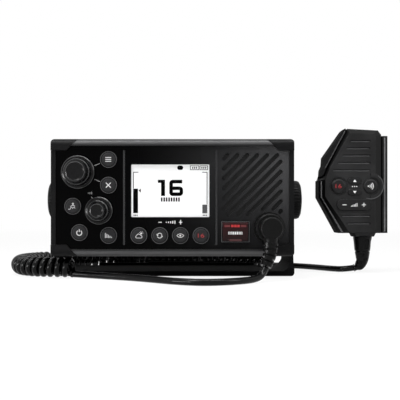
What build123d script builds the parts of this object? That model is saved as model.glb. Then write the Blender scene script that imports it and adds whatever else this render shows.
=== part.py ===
"""VHF marine radio in its gimbal bracket, with its corded hand microphone.

Frame: the origin is the centre of the bracket's underside. +X is to the right as seen from the
front, +Y runs to the rear and +Z is up. All sizes are in millimetres.
"""

import os
from math import atan2, cos, pi, radians, sin, sqrt, tan

from build123d import *

# ---- Driving dimensions: the radio's front -------------------------------------------------
PANEL_W = 192.0  # front bezel, across
PANEL_H = 93.0  # front bezel, top to bottom
PANEL_CORNER_R = 3.0
FACE_TO_PIVOT = 64.0  # the faceplate's front stands this far ahead of the tilt axis
PIVOT_Z = 63.5  # tilt axis above the bracket's underside
PANEL_RISE = 1.0  # the panel's centre above the tilt axis
BEZEL_DEPTH = 26.0  # faceplate's front to the bezel's back
RIM_W = 3.8
RIM_PROUD = 1.0
TRIM_H = 5.8  # rounded strip along the top and bottom edges
TRIM_PROUD = 2.2
TRIM_ROUND = 5.0
CORNER_H = 9.3  # height of the bezel's corner blocks
SEAM_TOP_X = 74.3  # where the slanted trim seam meets the outer edge
SEAM_GAP = 0.35
FACEPLATE_T = 1.5
LEDGE = 1.8  # shelf in the bezel that the faceplate is glued to
BEZEL_BACK_T = 2.6
REAR_CLEAR = 10.0  # the bezel's back reaches this far in from the chassis' inside walls

# ---- Driving dimensions: display, keys, knobs -----------------------------------------------
WINDOW_W, WINDOW_H = 61.8, 41.6
WINDOW_X, WINDOW_RISE = -1.8, 5.4
LENS_T = 1.4
LCD_MARGIN = 2.0
LCD_T = 5.0
DIVIDER_W = 1.5
DIVIDER_LEN = 75.0
DIVIDER_PROUD = 0.35
DIVIDER_SINK = 0.6
DIVIDER_X = (-38.3, 34.7)

KEY_R = 6.6
KEY_TOP_R = 5.45
KEY_HOLE_GAP = 0.15
KEY_PROUD = 1.3
KEY_GROOVE_W = 0.45
KEY_GROOVE_DEEP = 0.6
KEY_FLANGE_W = 0.8
KEY_FLANGE_T = 0.8
SEAT_GAP = 0.2  # clearance of a moving piece from the stop it rests on
KEY_PLACES = {
    "key_menu": (-50.6, 30.1),
    "key_clear": (-50.6, 9.8),
    "key_tracks": (-78.8, -6.8),
    "key_power": (-73.5, -27.6),
    "key_squelch": (-50.5, -29.9),
    "key_weather": (-26.6, -30.0),
    "key_scan": (-10.1, -30.0),
    "key_watch": (6.2, -30.0),
    "key_channel_16": (22.5, -30.0),
}

ENCODER_CAN = 13.0
ENCODER_BUSH_R = 4.4
ENCODER_BUSH_PROUD = 0.4
SHAFT_R = 3.0
SHAFT_FIT = 0.06
PRESS_TRAVEL = 0.6
KNOB_GAP = 1.2  # knob's skirt to the faceplate
KNOB_FLUTES = 18
CHANNEL_KNOB = {"x": -74.4, "rise": 20.0, "r": 13.1, "height": 16.5}
VOLUME_KNOB = {"x": -57.9, "rise": -10.3, "r": 10.9, "height": 15.5}

# ---- Driving dimensions: speaker grille -----------------------------------------------------
GRILLE_LEFT, GRILLE_RIGHT = 40.7, 85.5  # slot-end centres, from the panel's centre
GRILLE_TOP, GRILLE_BOTTOM = 33.6, -13.0
SLOT_W = 3.2
SLOT_PITCH = 5.55  # square to the slots, which rise at 45 degrees
SLOT_SHORTEST = 0.3
SLOT_CLEAR = 2.7  # slot-end centres to the microphone socket's flange
BACKING_T = 1.0
BACKING_MARGIN = 1.7
SPEAKER_R = 22.5
SPEAKER_DEPTH = 15.0
MAGNET_R = 12.0

# ---- Driving dimensions: distress key and microphone socket --------------------------------
DISTRESS_X, DISTRESS_DROP = 49.6, 27.1
DISTRESS_W, DISTRESS_H = 21.3, 17.7
DISTRESS_PROUD = 1.2
DISTRESS_DEEP = 6.5
COVER_W, COVER_H, COVER_T = 20.0, 14.6, 1.5
COVER_PROUD = 0.4
COVER_TOP_INSET = 1.2
COVER_SIDE_GAP = 0.2
COVER_PIVOT_R = 0.9
COVER_STUB_R, COVER_STUB_LEN = 0.55, 0.35
LIP_W, LIP_H, LIP_PROUD = 12.0, 1.8, 1.2
BUTTON_W, BUTTON_H, BUTTON_T = 16.0, 9.6, 3.2
BUTTON_GAP = 0.15
BUTTON_TRAVEL = 0.8

SOCKET_X, SOCKET_DROP = 76.2, 23.7
SOCKET_FLANGE_R, SOCKET_FLANGE_T = 12.5, 1.0
SOCKET_BODY_R, SOCKET_BODY_DEEP = 9.3, 9.0
SOCKET_NOSE_R, SOCKET_NOSE_LEN = 8.4, 7.0
RING_R, RING_LEN, RING_LIP_T = 11.0, 11.0, 1.7
RING_NOTCHES = 20
RING_FIT = 0.08
PLUG_BARREL_R = 7.4
PLUG_HEAD_R, PLUG_HEAD_LEN, PLUG_HEAD_ROUND = 8.6, 12.3, 1.6
NECK_R = 5.3
NECK_LEN = 11.5  # head's axis to the strain relief
RELIEF_UPPER, RELIEF_LOWER = 8.8, 9.8  # the relief's length above and below its bend
RELIEF_BEND_R = 16.0
RELIEF_R0, RELIEF_R1 = 6.2, 4.3
RELIEF_SLOTS, RELIEF_SLOT_W, RELIEF_SLOT_DEEP = 6, 1.3, 2.2
NECK_LEAN = (-1.2, -1.9, -20.3)  # direction of the plug's outlet
RELIEF_LEAN = (-3.4, -2.6, -9.1)  # direction in which the cord leaves the relief

# ---- Driving dimensions: chassis and its inside ---------------------------------------------
CHASSIS_W, CHASSIS_H = 180.0, 77.0
CHASSIS_WALL = 3.0
CHASSIS_R = 6.0
CHASSIS_REAR = 34.0  # tilt axis to the rear wall
GASKET_T = 1.0
FIN_COUNT, FIN_T, FIN_DEEP = 15, 2.2, 8.0
FIN_CLEAR = 1.9  # outermost fin to the antenna socket's flange
SCREW_HEAD_R, SCREW_HEAD_T, SCREW_R = 3.2, 2.4, 1.5
SCREW_INSET = 7.5
BOARD_T = 1.6
MAIN_BOARD_W, MAIN_BOARD_D = 150.0, 52.0
MAIN_BOARD_RISE = -17.0
CAN_W, CAN_D, CAN_H, CAN_X = 62.0, 38.0, 9.0, 26.0
RELAY_W, RELAY_D, RELAY_H = 20.0, 14.0, 12.0
CAPACITOR_R, CAPACITOR_H, CAPACITOR_PITCH = 5.0, 14.0, 14.0
POST_R = 4.0
MAT_T = 1.7
ANTENNA_R, ANTENNA_LEN, ANTENNA_BORE_R = 7.94, 12.0, 2.0
ANTENNA_X, ANTENNA_RISE = 78.0, 14.0
NETWORK_R, NETWORK_LEN = 6.0, 9.0
NETWORK_X, NETWORK_RISE = -78.0, 14.0
REAR_FLANGE, NETWORK_FLANGE = 22.0, 17.0
REAR_FLANGE_T = 2.0
INLET_X, INLET_RISE, INLET_R, INLET_LEN, INLET_BORE_R = -78.0, -14.0, 6.5, 9.0, 3.0

# ---- Driving dimensions: bracket and clamp knobs --------------------------------------------
BRACKET_W = 199.6
BASE_DEPTH = 72.0
BASE_T = 4.0
ARM_T = 4.0
ARM_INSIDE_R = 7.0
ARM_OUTSIDE_R = 3.0
ARM_HEAD_R = 17.0
ARM_FOOT = 60.0
LIP_LEN, LIP_HIGH_LEN, REAR_LIP_T = 142.0, 50.0, 3.0
REAR_LIP_H, REAR_LIP_HIGH_H = 6.4, 7.4
HOLE_R = 2.6
HOLE_SPACING_X, HOLE_SPACING_Y = 150.0, 44.0
PAD_R, PAD_T = 14.0, 2.2
PIVOT_BOSS_R = 15.0
TILT_GAP = 0.3
STUD_R, STUD_FIT = 4.0, 0.08
STUD_INTO_CHASSIS = 12.0
STUD_HOLE_GAP = 0.4
CLAMP_R, CLAMP_T = 16.7, 10.0
CLAMP_RIBS = 36
CLAMP_EDGE_R = 3.0

# ---- Driving dimensions: cord ----------------------------------------------------------------
CORD_D = 5.2
COIL_D = 16.8
CORD_GAP = 0.3

# ---- Values that follow -----------------------------------------------------------------------
FACE_Y = -FACE_TO_PIVOT
PANEL_Z = PIVOT_Z + PANEL_RISE
FACE_BACK = FACE_Y + FACEPLATE_T
BEZEL_BACK = FACE_Y + BEZEL_DEPTH
CHASSIS_FRONT = BEZEL_BACK + GASKET_T
ARM_OUTER = BRACKET_W / 2
ARM_INNER = ARM_OUTER - ARM_T
PIVOT_BOSS_X = ARM_INNER - PAD_T - TILT_GAP
BOARD_FRONT = FACE_BACK + LCD_T
SOCKET_Z = PANEL_Z - SOCKET_DROP
DISTRESS_Z = PANEL_Z - DISTRESS_DROP
UPRIGHT = (Align.CENTER, Align.CENTER, Align.MIN)  # a solid that stands on its own origin


def front_plane(y, x=0.0, z=0.0):
    """A drawing plane that faces the user: its x is +X and its y is +Z."""
    return Plane(origin=(x, y, z), x_dir=(1, 0, 0), z_dir=(0, -1, 0))


def slab(outline, front, back):
    """An outline drawn in X and Z, made solid between two depths along Y."""
    return extrude(front_plane(back) * outline, back - front)


def disc(x, z, r, front, back):
    """A round bar along Y."""
    return slab(Pos(x, z) * Circle(r), front, back)


def bar_x(y, z, r, x0, x1):
    """A round bar along X."""
    return extrude(Plane(origin=(x0, y, z), x_dir=(0, 1, 0), z_dir=(1, 0, 0)) * Circle(r), x1 - x0)


def rounded(w, h, r, x=0.0, z=0.0):
    return Pos(x, z) * RectangleRounded(w, h, r)


def outline(points):
    return make_face(Polyline(*points, close=True))


def turned(profile, x, z, y):
    """Revolve a half-profile of (radius, distance towards the user) points about an axis along Y."""
    face = make_face(Polyline(*[(r, 0, d) for r, d in profile], close=True))
    body = revolve(face, Axis.Z, 360)
    return Plane(origin=(x, y, z), x_dir=(1, 0, 0), z_dir=(0, -1, 0)) * body


def ring_of(piece, count, axis):
    """Copies of a cutter spaced evenly about an axis."""
    return [piece.rotate(axis, 360.0 * i / count) for i in range(count)]


def write(name, *solids):
    shape = solids[0] if len(solids) == 1 else Compound(children=list(solids))
    export_step(shape, f"parts/{name}.step")


def mirrored(points):
    """A left-to-right symmetric outline from its right half, listed from top to bottom."""
    return points + [(-x, z) for x, z in reversed(points)]


# ---- Front bezel and trims --------------------------------------------------------------------
def bezel_envelope():
    """The bezel's outer form: rounded corners seen from the front, rounded top and bottom edges."""
    front = FACE_Y - TRIM_PROUD
    body = slab(rounded(PANEL_W, PANEL_H, PANEL_CORNER_R, 0, PANEL_Z), front, BEZEL_BACK)
    half = PANEL_H / 2
    top, bottom = PANEL_Z + half, PANEL_Z - half
    flat = FACE_Y - TRIM_PROUD
    side = make_face(
        Line((BEZEL_BACK, bottom), (BEZEL_BACK, top))
        + Line((BEZEL_BACK, top), (flat + TRIM_ROUND, top))
        + RadiusArc((flat + TRIM_ROUND, top), (flat, top - TRIM_ROUND), -TRIM_ROUND)
        + Line((flat, top - TRIM_ROUND), (flat, bottom + TRIM_ROUND))
        + RadiusArc((flat, bottom + TRIM_ROUND), (flat + TRIM_ROUND, bottom), -TRIM_ROUND)
        + Line((flat + TRIM_ROUND, bottom), (BEZEL_BACK, bottom))
    )
    plane = Plane(origin=(-PANEL_W / 2, 0, 0), x_dir=(0, 1, 0), z_dir=(1, 0, 0))
    return body & extrude(plane * side, PANEL_W)


def pocket_points(grow=0.0):
    """The faceplate's outline: a rectangle whose corners step in round the bezel's corner blocks."""
    half_w = PANEL_W / 2 - RIM_W + grow
    half_h = PANEL_H / 2 - TRIM_H + grow
    step_h = PANEL_H / 2 - CORNER_H + grow
    slant = SEAM_TOP_X + PANEL_H / 2
    right = [
        (slant - half_h, half_h),
        (slant - step_h, step_h),
        (half_w, step_h),
        (half_w, -step_h),
        (slant - step_h, -step_h),
        (slant - half_h, -half_h),
    ]
    return [(x, PANEL_Z + z) for x, z in mirrored(right)]


def trim_prism(sign, grow=0.0):
    """The space of one trim strip, between its two slanted seams."""
    outer = PANEL_H / 2 + 1.0
    inner = PANEL_H / 2 - TRIM_H
    slant = SEAM_TOP_X + PANEL_H / 2 + grow
    points = [(slant - outer, outer), (slant - inner, inner)]
    shape = outline([(x, PANEL_Z + sign * z) for x, z in mirrored(points)])
    return slab(shape, FACE_Y - TRIM_PROUD - 1.0, FACE_Y + TRIM_ROUND)


def front_bezel(envelope):
    body = envelope
    step_h = PANEL_H / 2 - CORNER_H
    rims = outline(
        [
            (-PANEL_W / 2 - 1, PANEL_Z - step_h),
            (PANEL_W / 2 + 1, PANEL_Z - step_h),
            (PANEL_W / 2 + 1, PANEL_Z + step_h),
            (-PANEL_W / 2 - 1, PANEL_Z + step_h),
        ]
    )
    body -= slab(rims, FACE_Y - TRIM_PROUD - 1.0, FACE_Y - RIM_PROUD)
    body -= slab(outline(pocket_points()), FACE_Y - TRIM_PROUD - 1.0, FACE_BACK)
    body -= trim_prism(1, SEAM_GAP)
    body -= trim_prism(-1, SEAM_GAP)
    body -= slab(outline(pocket_points(-LEDGE)), FACE_BACK, BEZEL_BACK - BEZEL_BACK_T)
    body -= slab(chassis_hole(), BEZEL_BACK - BEZEL_BACK_T, BEZEL_BACK)
    for x, z in screw_places():
        body -= disc(x, z, SCREW_R - 0.1, BEZEL_BACK - BEZEL_BACK_T, BEZEL_BACK)
    return body


def chassis_hole():
    w, h = CHASSIS_W - 2 * CHASSIS_WALL, CHASSIS_H - 2 * CHASSIS_WALL
    return rounded(w - 2 * REAR_CLEAR, h - 2 * REAR_CLEAR, CHASSIS_R - CHASSIS_WALL, 0, PANEL_Z)


def screw_places():
    x, z = CHASSIS_W / 2 - SCREW_INSET, CHASSIS_H / 2 - SCREW_INSET
    return [(sx * x, PANEL_Z + sz * z) for sx in (-1, 1) for sz in (-1, 1)]


# ---- Faceplate ----------------------------------------------------------------------------------
def slot_ends():
    """The two end centres of each grille slot: lines at 45 degrees clipped by a rectangle."""
    step = SLOT_PITCH * sqrt(2)
    first = GRILLE_LEFT - GRILLE_TOP + SLOT_PITCH / 2
    ends = []
    offset = first
    while offset < GRILLE_RIGHT - GRILLE_BOTTOM:
        x0, x1 = max(GRILLE_LEFT, offset + GRILLE_BOTTOM), min(GRILLE_RIGHT, offset + GRILLE_TOP)
        keep_out = SOCKET_FLANGE_R + SLOT_CLEAR
        while x0 < x1 and sqrt((x0 - SOCKET_X) ** 2 + (x0 - offset + SOCKET_DROP) ** 2) < keep_out:
            x0 += 0.25
        if x1 - x0 > SLOT_SHORTEST:
            ends.append(((x0, x0 - offset), (x1, x1 - offset)))
        offset += step
    return ends


def grille_slots():
    slots = []
    for (x0, z0), (x1, z1) in slot_ends():
        length = sqrt((x1 - x0) ** 2 + (z1 - z0) ** 2) + SLOT_W
        middle = Pos((x0 + x1) / 2, PANEL_Z + (z0 + z1) / 2)
        slots.append(slab(middle * Rot(0, 0, 45) * SlotOverall(length, SLOT_W), FACE_Y, FACE_BACK))
    return slots


def divider(x):
    shape = rounded(DIVIDER_W, DIVIDER_LEN, DIVIDER_W * 0.45, x, PANEL_Z)
    return slab(shape, FACE_Y - DIVIDER_PROUD, FACE_Y + DIVIDER_SINK)


def faceplate():
    body = slab(outline(pocket_points()), FACE_Y, FACE_BACK)
    window = rounded(WINDOW_W, WINDOW_H, 0.8, WINDOW_X, PANEL_Z + WINDOW_RISE)
    cutters = [slab(window, FACE_Y, FACE_BACK)] + grille_slots()
    for x, rise in KEY_PLACES.values():
        cutters.append(disc(x, PANEL_Z + rise, KEY_R + KEY_HOLE_GAP, FACE_Y, FACE_BACK))
    for knob in (CHANNEL_KNOB, VOLUME_KNOB):
        cutters.append(disc(knob["x"], PANEL_Z + knob["rise"], ENCODER_BUSH_R, FACE_Y, FACE_BACK))
    cutters.append(slab(Pos(DISTRESS_X, DISTRESS_Z) * Rectangle(DISTRESS_W, DISTRESS_H), FACE_Y, FACE_BACK))
    cutters.append(disc(SOCKET_X, SOCKET_Z, SOCKET_BODY_R, FACE_Y, FACE_BACK))
    cutters += [divider(x) for x in DIVIDER_X]
    return body - cutters


# ---- Keys and knobs ------------------------------------------------------------------------------
def key(x, z):
    """A round key: raised cap inside a groove, a rim round it and a flange behind the faceplate."""
    groove_r = KEY_TOP_R + KEY_GROOVE_W
    back = -FACEPLATE_T - SEAT_GAP
    flange_r = KEY_R + KEY_FLANGE_W
    profile = [
        (0, KEY_PROUD - 0.15),
        (KEY_TOP_R - 0.9, KEY_PROUD),
        (KEY_TOP_R, KEY_PROUD - 0.35),
        (KEY_TOP_R, KEY_PROUD - KEY_GROOVE_DEEP),
        (groove_r, KEY_PROUD - KEY_GROOVE_DEEP),
        (groove_r, KEY_PROUD - 0.4),
        (KEY_R, KEY_PROUD - 0.75),
        (KEY_R, back),
        (flange_r, back),
        (flange_r, back - KEY_FLANGE_T),
        (0, back - KEY_FLANGE_T),
    ]
    return turned(profile, x, z, FACE_Y)


def knob_solid(spec):
    """A stepped control knob: rimmed skirt, fluted waist and a tapered crown with a dished top."""
    r, h = spec["r"], spec["height"]
    x, z = spec["x"], PANEL_Z + spec["rise"]
    profile = [
        (SHAFT_R + SHAFT_FIT, KNOB_GAP),
        (r - 0.8, KNOB_GAP),
        (r, KNOB_GAP + 0.8),
        (r, KNOB_GAP + 2.2),
        (r - 0.9, KNOB_GAP + 3.0),
        (r - 2.0, KNOB_GAP + 3.3),
        (r - 2.9, h * 0.66),
        (r - 3.9, h * 0.72),
        (r - 4.6, h - 1.4),
        (r - 5.6, h - 0.2),
        (r - 6.2, h),
        (r - 7.0, h - 0.5),
        (0, h - 0.6),
        (0, h - 3.0),
        (SHAFT_R + SHAFT_FIT, h - 3.0),
    ]
    body = turned(profile, x, z, FACE_Y)
    flute = disc(x + r - 1.6, z, 0.75, FACE_Y - h * 0.7, FACE_Y - KNOB_GAP - 3.3)
    axis = Axis((x, FACE_Y, z), (0, 1, 0))
    return body - ring_of(flute, KNOB_FLUTES, axis)


def shaft(spec):
    """The encoder's turning shaft, from inside its can to inside the knob."""
    front = FACE_Y - spec["height"] + 3.0 + PRESS_TRAVEL + SEAT_GAP
    return disc(spec["x"], PANEL_Z + spec["rise"], SHAFT_R, front, BOARD_FRONT - 1.0)


def encoder(spec):
    """The encoder's can and bushing, soldered to the control board."""
    x, z = spec["x"], PANEL_Z + spec["rise"]
    can = slab(Pos(x, z) * Rectangle(ENCODER_CAN, ENCODER_CAN), FACE_BACK, BOARD_FRONT)
    can += disc(x, z, ENCODER_BUSH_R - 0.02, FACE_Y - ENCODER_BUSH_PROUD, FACE_BACK)
    return can - disc(x, z, SHAFT_R + SHAFT_FIT, FACE_Y - ENCODER_BUSH_PROUD, BOARD_FRONT - 1.0)


# ---- Display, boards, speaker ---------------------------------------------------------------------
def window_box(margin, front, back):
    shape = Rectangle(WINDOW_W + 2 * margin, WINDOW_H + 2 * margin)
    return slab(Pos(WINDOW_X, PANEL_Z + WINDOW_RISE) * shape, front, back)


def board_outline():
    left = -(PANEL_W / 2 - RIM_W - LEDGE) + 1.0
    right = DIVIDER_X[1] - 1.0
    half_h = PANEL_H / 2 - CORNER_H - LEDGE / 2 - 1.0
    return Pos((left + right) / 2, PANEL_Z) * Rectangle(right - left, 2 * half_h)


def control_board():
    board = slab(board_outline(), BOARD_FRONT, BOARD_FRONT + BOARD_T)
    return board, encoder(CHANNEL_KNOB), encoder(VOLUME_KNOB)


def key_mat():
    """The silicone mat of dome switches on the control board."""
    front = BOARD_FRONT - MAT_T
    mat = slab(board_outline(), front, BOARD_FRONT)
    mat -= window_box(LCD_MARGIN + 1.0, front, BOARD_FRONT)
    for knob in (CHANNEL_KNOB, VOLUME_KNOB):
        hole = Pos(knob["x"], PANEL_Z + knob["rise"]) * Rectangle(ENCODER_CAN + 1, ENCODER_CAN + 1)
        mat -= slab(hole, front, BOARD_FRONT)
    return mat


def speaker_centre():
    return (GRILLE_LEFT + GRILLE_RIGHT) / 2, PANEL_Z + (GRILLE_TOP + GRILLE_BOTTOM) / 2


def grille_backing():
    x, z = speaker_centre()
    w = GRILLE_RIGHT - GRILLE_LEFT + 2 * BACKING_MARGIN
    h = GRILLE_TOP - GRILLE_BOTTOM + 2 * BACKING_MARGIN
    plate = slab(Pos(x, z) * Rectangle(w, h), FACE_BACK, FACE_BACK + BACKING_T)
    return plate - disc(SOCKET_X, SOCKET_Z, SOCKET_BODY_R + 0.3, FACE_BACK, FACE_BACK + BACKING_T)


def speaker():
    x, z = speaker_centre()
    profile = [
        (0, 0),
        (SPEAKER_R, 0),
        (SPEAKER_R, -2.5),
        (SPEAKER_R - 3, -4.0),
        (MAGNET_R + 2, -SPEAKER_DEPTH * 0.55),
        (MAGNET_R, -SPEAKER_DEPTH * 0.55),
        (MAGNET_R, -SPEAKER_DEPTH),
        (0, -SPEAKER_DEPTH),
    ]
    return turned(profile, x, z, FACE_BACK + BACKING_T)


# ---- Distress key -----------------------------------------------------------------------------------
COVER_FRONT = FACE_Y - DISTRESS_PROUD - COVER_PROUD
COVER_BACK = COVER_FRONT + COVER_T
COVER_TOP = DISTRESS_Z + DISTRESS_H / 2 - COVER_TOP_INSET
COVER_AXIS_Y = (COVER_FRONT + COVER_BACK) / 2
COVER_AXIS_Z = COVER_TOP - COVER_PIVOT_R
WELL_FRONT = COVER_BACK + SEAT_GAP
WELL_CENTRE_Z = COVER_TOP - COVER_H / 2 - 0.6


def distress_frame():
    front, back = FACE_Y - DISTRESS_PROUD, FACE_Y + DISTRESS_DEEP
    body = slab(Pos(DISTRESS_X, DISTRESS_Z) * Rectangle(DISTRESS_W, DISTRESS_H), front, back)
    recess_w, recess_h = COVER_W + 2 * COVER_SIDE_GAP, COVER_H + 2 * COVER_SIDE_GAP
    recess_z = COVER_TOP - COVER_H / 2
    body -= slab(Pos(DISTRESS_X, recess_z) * Rectangle(recess_w, recess_h), front, WELL_FRONT)
    well = Rectangle(BUTTON_W + 2 * BUTTON_GAP, BUTTON_H + 2 * BUTTON_GAP)
    floor = WELL_FRONT + BUTTON_T + BUTTON_TRAVEL
    body -= slab(Pos(DISTRESS_X, WELL_CENTRE_Z) * well, WELL_FRONT, floor)
    for side in (-1, 1):
        start = DISTRESS_X + side * recess_w / 2
        end = start + side * (COVER_STUB_LEN - COVER_SIDE_GAP + 0.1)
        low, high = min(start, end), max(start, end)
        body -= bar_x(COVER_AXIS_Y, COVER_AXIS_Z, COVER_STUB_R + 0.06, low, high)
    thumb = Pos(DISTRESS_X, COVER_TOP - COVER_H - 1.0) * Rectangle(LIP_W + 1.0, 2.4)
    body -= slab(thumb, front, FACE_Y)
    return body


def distress_cover():
    plate_h = COVER_H - COVER_PIVOT_R
    plate_z = COVER_TOP - COVER_PIVOT_R - plate_h / 2
    body = slab(Pos(DISTRESS_X, plate_z) * Rectangle(COVER_W, plate_h), COVER_FRONT, COVER_BACK)
    half = COVER_W / 2
    body += bar_x(COVER_AXIS_Y, COVER_AXIS_Z, COVER_T / 2, DISTRESS_X - half, DISTRESS_X + half)
    stub = half + COVER_STUB_LEN
    body += bar_x(COVER_AXIS_Y, COVER_AXIS_Z, COVER_STUB_R, DISTRESS_X - stub, DISTRESS_X + stub)
    lip = Pos(DISTRESS_X, COVER_TOP - COVER_H + LIP_H / 2 - 0.4) * Rectangle(LIP_W, LIP_H)
    return body + slab(lip, COVER_FRONT - LIP_PROUD, COVER_BACK)


def distress_button():
    shape = Pos(DISTRESS_X, WELL_CENTRE_Z) * Rectangle(BUTTON_W, BUTTON_H)
    return slab(shape, WELL_FRONT + 0.02, WELL_FRONT + BUTTON_T - 0.2)


# ---- Microphone socket and plug ------------------------------------------------------------------
NOSE_FRONT = FACE_Y - SOCKET_FLANGE_T - SOCKET_NOSE_LEN
RING_BACK = FACE_Y - SOCKET_FLANGE_T - CORD_GAP
RING_FRONT = RING_BACK - RING_LEN
HEAD_BACK = RING_FRONT - CORD_GAP
HEAD_FRONT = HEAD_BACK - PLUG_HEAD_LEN
HEAD_AXIS_Y = (HEAD_BACK + HEAD_FRONT) / 2


def mic_socket():
    body = disc(SOCKET_X, SOCKET_Z, SOCKET_FLANGE_R, FACE_Y - SOCKET_FLANGE_T, FACE_Y)
    body += disc(SOCKET_X, SOCKET_Z, SOCKET_BODY_R - 0.02, FACE_Y, FACE_Y + SOCKET_BODY_DEEP)
    return body + disc(SOCKET_X, SOCKET_Z, SOCKET_NOSE_R, NOSE_FRONT, FACE_Y - SOCKET_FLANGE_T)


def coupling_ring():
    """The knurled ring that pulls the plug onto its socket."""
    inner = SOCKET_NOSE_R + RING_FIT
    lip = RING_FRONT + RING_LIP_T
    body = disc(SOCKET_X, SOCKET_Z, RING_R, RING_FRONT, RING_BACK)
    body = chamfer(body.edges().filter_by(GeomType.CIRCLE).group_by(Axis.Y)[0], 0.8)
    body -= disc(SOCKET_X, SOCKET_Z, inner, lip, RING_BACK)
    body -= disc(SOCKET_X, SOCKET_Z, PLUG_BARREL_R + RING_FIT, RING_FRONT, lip)
    notch = disc(SOCKET_X + RING_R + 0.5, SOCKET_Z, 1.1, lip, RING_BACK - 1.5)
    return body - ring_of(notch, RING_NOTCHES, Axis((SOCKET_X, 0, SOCKET_Z), (0, 1, 0)))


def plug_axis():
    """The outlet's start on the head's axis, its direction, and the relief's centre line."""
    head = Vector(SOCKET_X, HEAD_AXIS_Y, SOCKET_Z)
    lean, tail = Vector(*NECK_LEAN).normalized(), Vector(*RELIEF_LEAN).normalized()
    top = head + lean * NECK_LEN
    corner = top + lean * RELIEF_UPPER
    return head, lean, [top, corner, corner + tail * RELIEF_LOWER], tail


def plug_body():
    head = disc(SOCKET_X, SOCKET_Z, PLUG_HEAD_R, HEAD_FRONT, HEAD_BACK)
    head = fillet(head.edges().filter_by(GeomType.CIRCLE).group_by(Axis.Y)[0], PLUG_HEAD_ROUND)
    head += disc(SOCKET_X, SOCKET_Z, PLUG_BARREL_R, HEAD_BACK, NOSE_FRONT)
    origin, lean, _, _ = plug_axis()
    neck = Plane(origin=origin, x_dir=(0, 1, 0), z_dir=lean) * Circle(NECK_R)
    return head + extrude(neck, NECK_LEN)


def sleeve(path, radii):
    """A bent rubber sleeve: circles of the given radii, evenly spaced along a path."""
    sections = []
    for i, r in enumerate(radii):
        t = i / (len(radii) - 1)
        sections.append(Plane(origin=path @ t, x_dir=(0, 1, 0), z_dir=path % t) * Circle(r))
    return loft(sections)


def slotted(body, path, radii, count, start):
    """Cut staggered slots across a sleeve, from a share of its length to its thin end."""
    for i in range(count):
        t = start + (0.9 - start) * i / count
        place = Plane(origin=path @ t, x_dir=(0, 1, 0), z_dir=path % t)
        r = radii[round(t * (len(radii) - 1))]
        for side in (-1, 1):
            block = Pos(0, side * (2 * r - RELIEF_SLOT_DEEP)) * Rectangle(3 * r, 2 * r)
            body -= extrude(place * (Rot(0, 0, 90 * (i % 2)) * block), RELIEF_SLOT_W)
    return body


def plug_relief():
    """The plug's tapered sleeve, with staggered slots that let it bend."""
    _, _, points, _ = plug_axis()
    path = FilletPolyline(*points, radius=RELIEF_BEND_R)
    steps = 6
    radii = [RELIEF_R0 + (RELIEF_R1 - RELIEF_R0) * i / steps for i in range(steps + 1)]
    return slotted(sleeve(path, radii), path, radii, RELIEF_SLOTS, 0.1)


# ---- Chassis and what is in it ---------------------------------------------------------------------
def chassis_outline(inset=0.0):
    w, h = CHASSIS_W - 2 * inset, CHASSIS_H - 2 * inset
    return rounded(w, h, max(CHASSIS_R - inset, 1.0), 0, PANEL_Z)


def rear_chassis():
    """Die-cast box, open at the front, with pivot bosses, board posts and rear cooling fins."""
    body = slab(chassis_outline(), CHASSIS_FRONT, CHASSIS_REAR)
    body -= slab(chassis_outline(CHASSIS_WALL), CHASSIS_FRONT, CHASSIS_REAR - CHASSIS_WALL)
    for side in (-1, 1):
        x0, x1 = side * (CHASSIS_W / 2 - CHASSIS_WALL), side * PIVOT_BOSS_X
        body += bar_x(0, PIVOT_Z, PIVOT_BOSS_R, min(x0, x1), max(x0, x1))
        deep = side * (PIVOT_BOSS_X - STUD_INTO_CHASSIS - 2.0)
        body += bar_x(0, PIVOT_Z, STUD_R + 3.0, min(x0, deep), max(x0, deep))
        far = side * (PIVOT_BOSS_X - STUD_INTO_CHASSIS)
        body -= bar_x(0, PIVOT_Z, STUD_R + STUD_FIT, min(far, x1), max(far, x1))
    fin_h = CHASSIS_H - 2 * CHASSIS_R
    outermost = min(ANTENNA_X, -NETWORK_X) - REAR_FLANGE / 2 - FIN_CLEAR - FIN_T / 2
    for i in range(FIN_COUNT):
        x = outermost * (2 * i / (FIN_COUNT - 1) - 1)
        body += slab(Pos(x, PANEL_Z) * Rectangle(FIN_T, fin_h), CHASSIS_REAR, CHASSIS_REAR + FIN_DEEP)
    floor = PANEL_Z - CHASSIS_H / 2 + CHASSIS_WALL
    for x, y in post_places():
        post = Pos(x, y, floor - 0.5) * Cylinder(POST_R, main_board_z() - floor + 0.5, align=UPRIGHT)
        body += post
    for x, z in screw_places():
        body += disc(x, z, POST_R, CHASSIS_FRONT, CHASSIS_REAR - CHASSIS_WALL)
        body -= disc(x, z, SCREW_R + 0.02, CHASSIS_FRONT, CHASSIS_REAR)
        body -= disc(x, z, SCREW_HEAD_R + 0.2, CHASSIS_REAR - SCREW_HEAD_T, CHASSIS_REAR)
    for x, rise, r in ((ANTENNA_X, ANTENNA_RISE, ANTENNA_R), (NETWORK_X, NETWORK_RISE, NETWORK_R)):
        body -= disc(x, PANEL_Z + rise, r, CHASSIS_REAR - CHASSIS_WALL, CHASSIS_REAR)
    z = PANEL_Z + INLET_RISE
    body += disc(INLET_X, z, INLET_R, CHASSIS_REAR - CHASSIS_WALL, CHASSIS_REAR + INLET_LEN)
    return body - disc(INLET_X, z, INLET_BORE_R, CHASSIS_REAR, CHASSIS_REAR + INLET_LEN)


def main_board_z():
    return PANEL_Z + MAIN_BOARD_RISE


def post_places():
    y_mid = (CHASSIS_FRONT + CHASSIS_REAR - CHASSIS_WALL) / 2
    x, y = MAIN_BOARD_W / 2 - 6.0, MAIN_BOARD_D / 2 - 6.0
    return [(sx * x, y_mid + sy * y) for sx in (-1, 1) for sy in (-1, 1)]


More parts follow.
